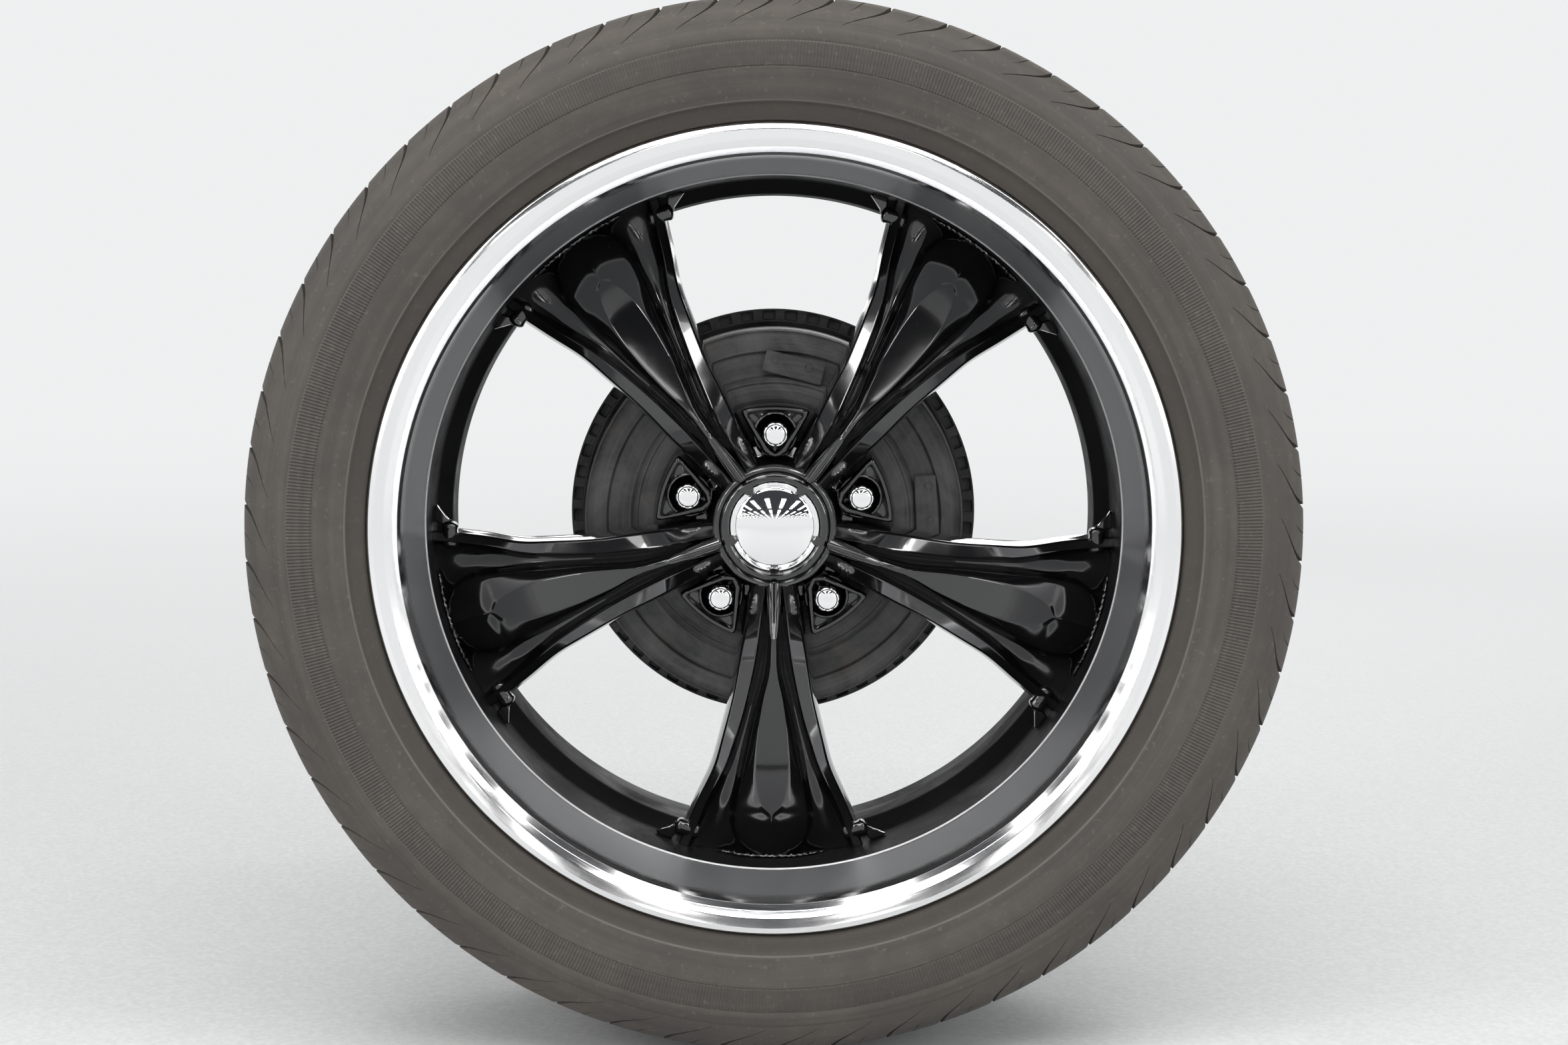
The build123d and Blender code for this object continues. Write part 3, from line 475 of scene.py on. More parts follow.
def tyreRows(shape):
    # rows of (station, radius, slit's depth 0-1, slit's trail, sipe's depth 0-1), from the outer bead over the tread
    # to the inner bead, and back inside
    width, start, depth = shape["width"], shape["treadFrom"], shape["grooveDepth"]
    bead = ((36, 256.9), (12.25, 256.9), (12.25, 266.5))
    sidewall = [(5.35 + 6.9 * cos(radians(turn)), 267.4 + 6.9 * sin(radians(turn))) for turn in range(0, 91, 15)]
    sidewall += [
        (3.6, 275.2), (2.2, 277.6), (1.3, 281), (0.6, 284.2), (-0.2, 285.6), (-1.6, 286.3), (-2.4, 287.2),
        (-2.7, 288.4), (-3.3, 290.5), (-4.4, 296), (-5.5, 302), (-6.15, 307.2), (-6.2, 308), (-5.6, 308.4),
        (-5.6, 309), (-6.3, 309.4), (-6.45, 313), (-6.35, 318), (-6, 322.5), (-5.7, 324.6), (-5.1, 325),
        (-5, 325.7), (-5.3, 326.3), (-4.7, 330), (-3.9, 333.4), (-3.5, 334.6), (-2.7, 335.2), (-2.4, 336.2),
    ]
    rows = [(s, r, 0, 1, 0) for s, r in (*bead, *sidewall)]
    # shoulder: the slits start as lines and open into notches
    rows += [
        (-1.9, 338, 0, 1, 0), (-1.5, 339.2, 0.10, 0.93, 0), (-0.8, 341.2, 0.20, 0.80, 0),
        (0.3, 343.6, 0.32, 0.62, 0), (1.8, 346.2, 0.46, 0.43, 0), (3.7, 348.7, 0.62, 0.26, 0),
        (6, 351.2, 0.80, 0.13, 0.3), (8.8, 353.6, 0.95, 0.05, 0.8), (12, 355.5, 1, 0, 1),
        (15.5, 357, 1, -0.06, 1),
    ]
    crown = [(station, 0, 1) for station in (20, 28, 38, 48, 72, 84, 96, 120, 132.5, 145, 168, 180, 192, 217, 227, 237,
                                             245)]
    half = shape["grooveWidth"] / 2
    for middle in shape["grooves"]:
        edge = ((-half - 0.6, 0, 1), (-half, 0.5, 1), (-half + 1.3, depth - 0.8, 0), (-half + 2.2, depth, 0))
        crown += [(middle + s, sunk, cut) for s, sunk, cut in edge]
        crown += [(middle - s, sunk, cut) for s, sunk, cut in edge]
    for station, sunk, cut in sorted(crown):
        lift = ((station - width / 2) / shape["crownReach"]) ** 2
        rib = sum(station > groove for groove in shape["grooves"])
        slit, sipe = ((1, 1), (0.62, 0.8), (0.5, 0.8), (0.62, 0.8), (1, 1))[rib]
        along = (station - start) / (width - 2 * start)
        trail = -0.06 - 0.55 * along + 0.12 * sin(along * 4 * pi)
        rows.append((station, shape["radius"] - shape["crownDrop"] * lift - sunk, slit * cut, trail, sipe * cut))
    for station, radius, cut, trail, sipe in reversed(rows[len(bead):]):
        if station <= start:
            rows.append((width - station, radius, cut, -0.61 - (trail + 0.06) * 0.94, sipe))
    rows += [(width - s, r, 0, -1.6, 0) for s, r in reversed(bead)]
    inner = [(222, 263), (243, 284), (262.5, 312), (248, 341), (132.5, 347.5), (17, 341),
             (2.5, 312), (22, 284), (43, 263)]
    for n, (station, radius) in enumerate(inner, start=1):
        rows.append((station, radius, 0, -1.6 + 2.6 * n / (len(inner) + 1), 0))
    return rows


def makeTyre(shape):
    pitch = 360 / shape["pitches"]
    middle = pitch / 2
    loops = []
    for station, radius, cut, trail, sipe in tyreRows(shape):
        perMm = degrees(1 / radius)
        shear = -shape["slitLean"] * trail
        half = shape["slitWidth"] / 2 * perMm * (0.16 + 0.84 * cut if cut > 0 else 0.3)
        sipeHalf = shape["sipeWidth"] / 2 * perMm
        sunk = shape["slitDepth"] * cut
        sipeSunk = shape["sipeDepth"] * sipe if cut > 0 else 0.0
        columns = [(-half, 0), (-0.5 * half, sunk), (0.5 * half, sunk), (half, 0),
                   ((half + middle - sipeHalf) / 2, 0), (middle - sipeHalf, 0), (middle, sipeSunk),
                   (middle + sipeHalf, 0), ((middle + sipeHalf + pitch - half) / 2, 0), (pitch - half, 0)]
        # a cut goes inward along the surface's slope
        lean = min(max((station - shape["width"] / 2) / shape["crownReach"], -1), 1)
        inward = sqrt(max(1 - 0.5 * abs(lean) ** 6, 0.3))
        sideways = lean * abs(lean) ** 5 * 0.7
        loops.append([around(radius - depth * inward, station - depth * sideways, radians(across + shear))
                      for across, depth in columns])
    loops.append(loops[0])
    sector = loopsToSolid("tyreSector", loops, rubber, capEnds=False, closedLoops=False)
    # each row's shear is the same in every sector, so the seams meet
    return ringOf("tyre_skin", sector, shape["pitches"], 0, merge=0.02, smooth=38)


tyre = makeTyre(tyreShape)
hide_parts("tyre")
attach(tyre, "wheel")
print("tyre made,", len(tyre.data.polygons), "faces")


rimShape = {
    "lipEdge": 273.9,
    "polishEnds": 66,
    # radii of the barrel's inner side, of the drop well in it, and of the fine bead where the polish ends
    "barrel": 242.7,
    "well": 233,
    "bead": 241.7,
    "wall": 6,
}


def makeRim(shape):
    edge, barrel, well, bead, wall = (shape[name] for name in ("lipEdge", "barrel", "well", "bead", "wall"))
    outline = [
        (0, 268.4, 1.2), (1.4, 272.3, 2.2), (5.35, edge, 3), (11.85, 273.6, 5.5), (11.85, 256.4, 1.5),
        (33.85, 254.6, 2), (37.8, 256.1, 2), (41.8, 254.6, 2), (60, barrel + wall, 6), (126, barrel + wall, 6),
        (140, well + wall, 6), (174, well + wall, 6), (190, 251, 6), (219, 251, 4), (223.2, 254.6, 2),
        (227.2, 256.1, 2), (231.1, 254.6, 2), (253.15, 256.4, 1.5), (253.15, 273.6, 5.5), (259.6, edge, 3),
        (263.6, 272.3, 2.2), (265, 268.4, 1.5), (261, 252, 4), (251, 245, 6), (188, 245, 6),
        (172, well, 6), (142, well, 6), (126, barrel, 6), (66.4, barrel, 0.3), (65.8, bead + 0.2, 0.4),
        (64.6, bead, 0.5), (63.4, bead + 0.9, 0.4), (14, 252.2, 3), (9.6, 253.6, 2.4), (5.2, 257.4, 2.6),
        (2, 262, 4),
    ]
    return revolve("rim_barrel", outline, [polished, barrelBlack], turns=288, fillets=5, smooth=40,
                   changeAt=shape["polishEnds"])


rim = makeRim(rimShape)
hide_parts("rim")
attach(rim, "wheel")
print("rim made")


spokeShape = {
    # up the spoke: half width and station of each line of the section
    "railOuter": [(38, 14, 71.5), (46, 15.5, 70), (60, 18, 69), (72, 20, 68.7), (93, 23.6, 67), (116, 27, 69.5),
                  (130, 30, 71.5), (144, 33.5, 75), (158, 37, 78.5), (172, 40.5, 83), (185, 46, 88.7), (198, 52, 95.5),
                  (213, 58, 100), (224, 62.6, 102.6), (234, 66.4, 103.6)],
    "railInner": [(38, 5.6, 62.5), (50, 7, 59.5), (65, 9, 57), (80, 10.6, 57), (93, 12.5, 58.6), (116, 17, 63),
                  (130, 20.2, 65.5), (144, 24, 69), (158, 28.6, 72.4), (172, 33, 77), (185, 39, 83), (198, 45.5, 90),
                  (213, 51, 95.5), (224, 55.4, 98.6), (234, 59, 100)],
    "petal": [(38, 1.7, 56), (60, 1.8, 51.5), (79, 1.9, 47.4), (92, 2.4, 49), (104, 4, 51.8), (116.4, 7.1, 55.4),
              (131, 10.8, 60.7), (145.8, 13.9, 66.4), (161, 16.9, 72.4), (176, 19.8, 78.8), (192, 22.9, 85.8),
              (203, 24.9, 89.8), (211.6, 26.1, 92.8), (218, 26.2, 95.3), (224, 25.4, 97.4), (230, 23.2, 99.2),
              (235, 20.4, 100.2), (239, 17.2, 100.8), (243, 12.6, 101.3)],
    # the flat leaf on the petal's crest: up, half width
    "leaf": [(38, 0.4), (84, 0.6), (95, 1.5), (105.5, 3), (117, 5.7), (126, 7.3), (135, 8.6), (144, 9.9),
             (156, 10.9), (168, 11.6), (177, 11.6), (186, 11), (194, 9.6), (201, 7.2), (205, 4.6), (208.5, 0.4),
             (243, 0.4)],
    # fall from the crest to the petal's edge
    "fall": [(38, 0.5), (92, 0.9), (104, 1.9), (117, 3.4), (135, 5), (160, 6.6), (180, 7.4), (200, 7.6), (211, 7.2),
             (225, 6.2), (243, 4.5)],
    "floor": [(38, 77), (80, 79), (120, 84), (144, 89), (172, 97), (198, 105), (220, 109.5), (243, 110.5)],
    "back": [(38, 116), (80, 112), (100, 105), (120, 100.5), (144, 101.5), (180, 108), (212, 119), (243, 124)],
    "draft": 2.6,  # the rails' outer sides spread by this towards the back
    "endsAt": 242.5,  # radius
    "endsNear": 240,  # about the height of the outer end
    "straightTo": 224,
}


def smoothed(table, column, where):
    # a smooth line through a table's rows, without overshoot, and straight past its ends
    xs, ys = [row[0] for row in table], [row[column] for row in table]
    steps = [(ys[n + 1] - ys[n]) / (xs[n + 1] - xs[n]) for n in range(len(xs) - 1)]
    slopes = [steps[0]]
    for before, after in zip(steps, steps[1:]):
        slopes.append(0.0 if before * after <= 0 else 2 * before * after / (before + after))
    slopes.append(steps[-1])
    if where <= xs[0]:
        return ys[0] + slopes[0] * (where - xs[0])
    if where >= xs[-1]:
        return ys[-1] + slopes[-1] * (where - xs[-1])
    n = int(np.searchsorted(xs, where)) - 1
    width = xs[n + 1] - xs[n]
    t = (where - xs[n]) / width
    return ((2 * t**3 - 3 * t**2 + 1) * ys[n] + (t**3 - 2 * t**2 + t) * width * slopes[n]
            + (-2 * t**3 + 3 * t**2) * ys[n + 1] + (t**3 - t**2) * width * slopes[n + 1])


curveGrid = np.arange(16, 266, 1)


def fairCurve(table, column, spread):
    # the same line with its small waves evened out, so that reflections run cleanly along it
    raw = np.array([smoothed(table, column, up) for up in curveGrid])
    reach = int(4 * spread)
    weights = np.exp(-0.5 * (np.arange(-reach, reach + 1) / spread) ** 2)
    return np.convolve(np.pad(raw, reach, mode="reflect", reflect_type="odd"), weights / weights.sum(), mode="valid")


# x: half widths, s: stations; o and i: the rail's outer and inner edge, p: petal, f: groove's floor, b: back
spokeCurves = {name: fairCurve(spokeShape[table], column, spread) for name, table, column, spread in (
    ("xo", "railOuter", 1, 6), ("so", "railOuter", 2, 6), ("xi", "railInner", 1, 6), ("si", "railInner", 2, 6),
    ("xp", "petal", 1, 2.5), ("sp", "petal", 2, 5), ("leaf", "leaf", 1, 1.5), ("fall", "fall", 1, 5),
    ("sf", "floor", 1, 5), ("sb", "back", 1, 6),
)}


def spokeSection(shape, up):
    value = {name: float(np.interp(up, curveGrid, curve)) for name, curve in spokeCurves.items()}
    xo, so, xi, si, xp, sf, sb = (value[name] for name in ("xo", "so", "xi", "si", "xp", "sf", "sb"))
    leaf = min(max(value["leaf"], 0.4), 0.8 * xp)
    wide = xo + shape["draft"]
    crest = value["sp"] - 0.21 * xp
    sp = crest + value["fall"]
    gap = xi - xp
    slope = (so - si) / (xo - xi)
    # the leaf and its soft edge
    half = [(0, crest - 0.012 * leaf), (0.5 * leaf, crest - 0.004 * leaf), (max(leaf - 0.9, 0.72 * leaf), crest),
            (max(leaf - 0.3, 0.88 * leaf), crest + 0.02), (leaf + 0.3, crest + 0.2)]
    # the petal's side face, a little swollen
    for share in (0.2, 0.42, 0.64, 0.84):
        x = leaf + 0.3 + share * (xp - leaf - 0.6)
        swell = 0.05 * (xp - leaf) * 4 * share * (1 - share)
        half.append((x, crest + 0.2 + share * (sp - crest - 0.3) - swell))
    half += [(xp - 0.3, sp - 0.1), (xp, sp + 0.35), (xp + min(0.25, gap * 0.04), sp + 1.1)]
    # the groove
    for n in range(1, 10):
        t = (1 - cos(pi * n / 10)) / 2
        edge = sp + 1.1 + t * (si + 1.9 - sp - 1.1)
        half.append((xp + 0.25 + t * (gap - 0.6), edge + (sf - edge) * sin(pi * n / 10) ** 0.55))
    # the rail: a flat top between two tight edges
    half += [
        (xi - 0.3, si + 1.7), (xi - 0.1, si + 0.75), (xi + 0.35, si + 0.1 + 0.35 * slope),
        *[(x, si + slope * (x - xi)) for x in (xi + 0.9, xi + 1.3, (xi + xo) / 2, xo - 1.5, xo - 1.1)],
        (xo - 0.35, so + 0.2), (xo + 0.1, so + 0.75), (xo + 0.35, so + 1.6), (xo + 0.45, so + 2.2),
        (xo + 0.9, so + 4.4), (xo + 1.2, so + 5.6), (wide, so + 0.45 * (sb - so) + 3), (wide + 0.1, sb - 5),
        (wide - 0.6, sb - 2), (wide - 2, sb - 0.4), (xo - 2.6, sb),
    ]
    return [(-x, s) for x, s in reversed(half[1:])] + half


def makeSpoke(shape):
    straight = shape["straightTo"]
    runs = ((39, 84, 13), (88, 192, 30), (194, 212, 14), (215, straight, 4))
    loops = [[(x, s, up) for x, s in spokeSection(shape, up)]
             for up in np.concatenate([np.linspace(*run) for run in runs])]
    # the outer end follows the barrel, so that each point has its own height
    for share in (0.14, 0.3, 0.46, 0.62, 0.76, 0.88, 0.96, 1):
        loop = []
        for n in range(len(loops[0])):
            up = straight + (shape["endsNear"] - straight) * share
            for _ in range(4):
                x, s = spokeSection(shape, up)[n]
                up = straight + (sqrt(shape["endsAt"] ** 2 - x**2) - straight) * share
            loop.append((x, s, up))
        loops.append(loop)
    return loopsToSolid("spokeShape", loops, glossBlack, smooth=46)


weldShape = {"reach": 9.2, "thickness": 1.35, "ripples": 17, "radius": 242.7, "station": 99.2}


def makeWeld(shape):
    # the welded seam along the barrel, in front of the petal's outer end
    loops = []
    turns = [2 * pi * n / 10 for n in range(10)]
    for share in np.linspace(0, 1, 93):
        across = 2 * share - 1
        aside = shape["reach"] * across
        ripple = sin(share * shape["ripples"] * 2 * pi) + 0.6 * sin(share * 61.0 + 1.3) + 0.4 * sin(share * 143)
        size = shape["thickness"] * (1 + 0.16 * ripple) * (1 - abs(across) ** 6) ** 0.5 + 0.12
        out = max(abs(aside) - 4.2, 0) / 5.0
        station = shape["station"] + 7.5 * out**1.6 + 0.35 * sin(share * 37)
        section = [(shape["radius"] - 0.95 * size * (1 + cos(t)), station + 1.25 * size * sin(t)) for t in turns]
        loops.append([around(radius, s, radians(aside)) for radius, s in section])
    return loopsToSolid("weldShape", loops, glossBlack, smooth=60)


footShape = {"aside": 15.1, "radius": 230.6, "station": 98.6, "length": 19, "height": 10.5, "depth": 13}


def makeFoot(shape, side):
    # the cross piece at a rail's outer end, with a knob at each of its ends
    loops = []
    back = shape["station"] + shape["depth"]
    for along in (-1, -0.97, -0.9, -0.78, -0.64, -0.5, -0.3, 0, 0.3, 0.5, 0.64, 0.78, 0.9, 0.97, 1):
        t = along * shape["length"] / 2
        knob = np.exp(-((abs(t) - 6.3) / 2) ** 2)
        closing = (1 - abs(along) ** 9) ** 0.5
        high = (shape["height"] / 2 + 0.9 * knob) * max(closing, 0.25)
        front = shape["station"] + 1.3 * (1 - knob) + 3.0 * (1 - closing)
        middle, deep = (front + back) / 2, (back - front) / 2
        turn = radians(side * shape["aside"] + degrees(t / shape["radius"]))
        loop = []
        for n in range(20):
            c, s = cos(2 * pi * n / 20), sin(2 * pi * n / 20)
            bulge = (abs(c) ** 3.2 + abs(s) ** 3.2) ** (-1 / 3.2)
            loop.append(around(shape["radius"] + high * c * bulge, middle + deep * s * bulge, turn))
        loops.append(loop)
    return loopsToSolid("footShape", loops, glossBlack, smooth=50)


gussetShape = {"from": 17.2, "to": 20.2, "top": 230, "root": 242.3, "station": 109, "thickness": 4}


def makeGusset(shape, side):
    # the small web between a rail's side and the barrel, from corners of (radius, degrees aside)
    start, end, top, root = shape["from"], shape["to"], shape["top"], shape["root"]
    foot = root - 1.7
    corners = [(root, start), (root, (start + end) / 2), (root, end - 0.4), (foot, end),
               ((foot + top) / 2 - 2.5, end - 2.4), (top, start + 0.3), (top, start - 0.8)]
    middle = np.mean(corners, axis=0)
    loops = []
    for behind, inset in ((0, 0.5), (0, 0.16), (0.8, 0.10), (1.8, 0), (shape["thickness"], 0)):
        loops.append([around(r + (middle[0] - r) * inset, shape["station"] + behind,
                             radians(side * (a + (middle[1] - a) * inset))) for r, a in corners])
    return loopsToSolid("gussetShape", loops, glossBlack)


def makeSpear():
    # the pointed ridge over the petal's root: (up, half width, station of its crest)
    rows = [(38.6, 6.3, 60.2), (44, 5.9, 57.6), (50, 5.4, 55.2), (56, 4.85, 52.9), (62, 4.3, 50.8), (68, 3.7, 48.7),
            (72, 3.25, 47.2), (75, 2.75, 46.1), (76.6, 2.1, 45.6), (77.6, 1.2, 45.5), (78.2, 0.3, 45.7)]
    # from the crest down its side, in half widths
    side = ((0.1, 0.04), (0.5, 0.3), (0.78, 0.52), (0.93, 0.74), (1, 1.15))
    loops = []
    for up, half, crest in rows:
        right = [(x * half, crest + down * half) for x, down in side] + [(half * 1.04, 78)]
        loops.append([(-x, s, up) for x, s in reversed(right)] + [(0, crest, up)] + [(x, s, up) for x, s in right])
    return loopsToSolid("spearShape", loops, glossBlack, smooth=50)


spokeParts = [makeSpoke(spokeShape), makeSpear(), makeWeld(weldShape)]
spokeParts += [makeFoot(footShape, side) for side in (-1, 1)]
spokeParts += [makeGusset(gussetShape, side) for side in (-1, 1)]
spokes = ringOf("spokes", joined("spokeWhole", spokeParts), 5, spokeAngle, smooth=42)
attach(spokes, "wheel")

padShape = {"pocket": 13.5, "arc": 83.2, "corner": 16.9, "tail": 46.5, "rim": 3.2,
            "rimAt": 81, "floorAt": 87, "bossAt": 85.5, "seatAt": 102, "backAt": 119, "bore": 7.5}


def padOutline(shape, inset):
    # the rounded triangle round a nut, about the nut's centre, as (across, up, fillet)
    arc = shape["arc"] - inset
    side = radians(shape["corner"] - inset * 0.62)
    tail = shape["tail"] + inset
    line = [(arc * sin(side * share), arc * cos(side * share), 0) for share in (0, 0.25, 0.5, 0.75)]
    line += [(arc * sin(side), arc * cos(side), 3.6 - inset * 0.5), (7.5 - inset, tail + 3, 4), (0, tail, 0)]
    right = [(x, y - boltRadius, f) for x, y, f in line]
    left = [(-x, y, f) for x, y, f in reversed(right[1:-1])]
    return rounded(right + left, 4)


def rayed(outline, count):
    # the outline again, as points at even angles about its centre
    points = np.array(outline)
    result = []
    for k in range(count):
        ray = np.array((sin(2 * pi * k / count), cos(2 * pi * k / count)))
        best = 0.0
        for n in range(len(points)):
            grid = np.array([ray, points[n - 1] - points[n]]).T
            if abs(np.linalg.det(grid)) < 1e-9:
                continue
            reach, share = np.linalg.solve(grid, points[n - 1])
            if -1e-9 <= share <= 1 + 1e-9:
                best = max(best, reach)
        result.append(ray * best)
    return result


def makePad(shape):
    count = 96
    pocket, rimAt, floorAt, boss, seat = (shape[name] for name in ("pocket", "rimAt", "floorAt", "bossAt", "seatAt"))
    wide, bore, back = shape["rim"], shape["bore"], shape["backAt"]
    # rings of (radius, station) from the bore to the pocket's edge, then outlines of (inset, station)
    rings = [(bore, back), (bore, seat + 4), (10, seat + 1), (pocket - 1, seat - 1), (pocket - 0.2, seat - 4),
             (pocket, boss + 1), (pocket + 0.5, boss + 0.2), (pocket + 1.1, boss), (pocket + 1.9, boss + 0.3),
             (pocket + 2.3, boss + 1)]
    outlines = [(wide + 1.2, floorAt), (wide + 0.4, floorAt - 0.9), (wide, rimAt + 1), (wide - 0.6, rimAt + 0.15),
                (wide / 2, rimAt), (0.7, rimAt + 0.2), (0, rimAt + 1.2), (-0.8, rimAt + 6), (-1.2, 117),
                (0.5, back)]
    loops = [[around(radius, station, 2 * pi * k / count, boltRadius) for k in range(count)]
             for radius, station in rings]
    loops += [[(x, station, y + boltRadius) for x, y in rayed(padOutline(shape, inset), count)]
              for inset, station in outlines]
    return loopsToSolid("padShape", loops + loops[:1], glossBlack, capEnds=False, smooth=40)


pads = ringOf("nut_pads", makePad(padShape), 5, nutAngle, smooth=40)
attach(pads, "wheel")
hub = revolve("hub_core", [
    (119.6, 35.5, 1), (119.6, 60, 1.5), (97, 60, 2.5), (92, 55, 2), (90, 48, 4), (84, 43.2, 4),
    (63.5, 43.2, 2), (61.2, 40.6, 1.6), (61.8, 38.15, 0.8), (76, 38.15, 0.5), (76, 35.5, 0.5),
], [glossBlack], turns=160, fillets=4)
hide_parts("spoke_centre")
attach(hub, "wheel")
print("spokes and hub made")


capShape = {"collar": (31.4, 37.9), "collarRise": 3.3, "front": 61.2, "domeRadius": 27.8, "domeRise": 6.4}


def makeCollar(shape):
    inner, outer = shape["collar"]
    front = shape["front"]
    crest = [(front - shape["collarRise"] * sin(radians(turn)),
              (inner + outer) / 2 + (outer - inner) / 2 * cos(radians(turn)), 0) for turn in range(10, 171, 16)]
    return revolve("cap_collar", [(75.8, 0, 0), (75.8, outer, 0.6), (front - 0.2, outer, 0), *crest,
                                  (front, inner, 0), (74, inner, 0.4), (74, 0, 0)],
                   [glossBlack], turns=128, fillets=2, smooth=50)


def makeDome(shape):
    dome = [(shape["front"] - 0.2 - shape["domeRise"] * (1 - t**2.2), shape["domeRadius"] * t, 0)
            for t in np.linspace(0, 1, 15)]
    dome += [(61.5, 28.1, 0), (61.5, 28.7, 0.2), (60.3, 29, 0.3), (60.1, 30.6, 0.5), (61, 31.2, 0.3),
             (73.9, 31.2, 0.4), (73.9, 0, 0)]
    return revolve("cap_dome", dome, [chrome], turns=160, smooth=40)


capRing = makeCollar(capShape)
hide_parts("cap_ring")
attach(capRing, "wheel")

cap = makeDome(capShape)
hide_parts("centre_cap")
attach(cap, "wheel")


def makeTab():
    # a small tab of the collar, bent over the dome's edge: (up, half width, station, thickness)
    loops = []
    for up, half, station, thick in ((27.6, 1.6, 60, 0.9), (28.4, 2.6, 59.4, 1.4), (30, 3.4, 58.8, 2),
                                     (32, 3.9, 58.4, 2.6), (34, 4.3, 58.2, 2.8)):
        loops.append([(x, station + behind, up) for x, behind in (
            (-half, thick), (-half, 0.4), (-half + 0.5, 0), (0, -0.1), (half - 0.5, 0), (half, 0.4), (half, thick),
            (0, thick))])
    return loopsToSolid("tabShape", loops, glossBlack)


tabs = ringOf("cap_tabs", makeTab(), 5, spokeAngle)
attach(tabs, "wheel")


nutShape = {"seatAt": 102, "flutes": 8, "fluteDepth": 0.75, "seam": 6.9, "seamWidth": 0.66}


def makeNut(shape):
    # rows of (station, radius, flute 0-1) from the seat to the closed tip
    seat, count = shape["seatAt"], 96
    rows = [(seat, 7.4, 0), (seat, 8.6, 0), (seat - 0.6, 9, 1), (76, 9, 1), (70.4, 9, 1), (69.4, 8.9, 1),
            (68.3, 8.55, 0.8), (67.6, 8.05, 0.35), (67.35, 7.6, 0.1), (67.45, 7.25, 0), (68.2, 7.15, 0),
            (68.2, 6.65, 0), (67.5, 6.55, 0), (67.2, 6.1, 0), (66.9, 5, 0), (66.75, 3.6, 0), (66.7, 2, 0),
            (66.7, 0.6, 0)]
    turns = [2 * pi * k / count for k in range(count)]
    ripples = [max(0, cos(a * shape["flutes"])) ** 3 for a in turns]
    loops = [[around(radius - shape["fluteDepth"] * flute * ripple, station, a, boltRadius)
              for a, ripple in zip(turns, ripples)] for station, radius, flute in rows]
    return loopsToSolid("nutShape", loops, chrome, smooth=50)


nuts = ringOf("lug_nuts", makeNut(nutShape), 5, nutAngle, smooth=50)
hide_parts(*[f"lug_nut_{n}" for n in range(1, 6)])
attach(nuts, "wheel")


def makeNutRing(shape):
    # the black seam between a nut's closed tip and its sleeve
    half = shape["seamWidth"] / 2
    section = ((-half, 68.3), (-half, 67.55), (half, 67.55), (half, 68.3))
    loops = [[around(shape["seam"] + side, station, 2 * pi * k / 64, boltRadius) for side, station in section]
             for k in range(65)]
    return loopsToSolid("nutRingShape", loops, glossBlack, capEnds=False)


seams = ringOf("nut_rings", makeNutRing(nutShape), 5, nutAngle, merge=0.01)
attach(seams, "wheel")
print("cap and nuts made")


drumShape = {"pockets": 56, "channel": (142.9, 149.4), "channelFloor": 199, "flange": 193}
low, high = drumShape["channel"]
floor, flange = drumShape["channelFloor"], drumShape["flange"]
drum = revolve("drum_body", [
    (120, 35.3, 0.8), (120, 83, 1.5), (118.6, 86.4, 2.5), (118.6, 93.6, 2.5), (121.2, 97, 1),
    (120.2, 98.6, 1), (122.8, 101.6, 1.5), (126, 103.6, 1.2), (126, 119.2, 1), (123.3, 120.6, 0.8),
    (123, 129.6, 2), (125.6, 134.6, 3), (131, 136.6, 3), (160, 137.2, 0), (187, 138.4, 4),
    (flange, 141.4, 1), (flange, low, 0.4), (floor, low, 0.6), (floor, high, 0.6), (flange, high, 0.4),
    (193.2, 150.9, 0.7), (203.8, 151, 0.8), (203.8, 127.1, 1.5), (134, 127.1, 2), (133, 118, 2),
    (127, 90, 3), (127, 35.3, 0.8),
], [castIron], turns=216, smooth=40)


def makeBridge(shape):
    # the iron between two of the flange's pockets
    quarter = radians(360 / shape["pockets"] / 4)
    low, high = shape["channel"]
    back, front = shape["channelFloor"] + 0.2, shape["flange"] + 0.3
    loops = []
    for radius, share in ((low - 0.3, 1.12), (low + 0.8, 0.96), ((low + high) / 2, 0.92), (high - 0.8, 0.96),
                          (high + 0.3, 1.12)):
        x, _, z = around(radius, 0, quarter * share)
        right = [(x * 0.82, front, z), (x, front + 0.6, z), (x, back, z)]
        loops.append([(-x, s, z) for x, s, z in reversed(right)] + right)
    return loopsToSolid("bridgeShape", loops, castIron)


bridges = ringOf("drum_bridges", makeBridge(drumShape), drumShape["pockets"], 2)
for piece in (drum, bridges):
    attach(piece, "wheel")
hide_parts("brake_drum")


weightShape = {
    "length": 43.6, "width": 15.2, "thickness": 3.4, "ring": 110, "top": 119.6,
    "rivets": ((-14.2, 2.3), (10.8, 2.1)), "rivet": 2.6,
    # clockwise from the top, and the plate's own tilt
    "places": ((7.4, 6.5), (85, 2)),
}


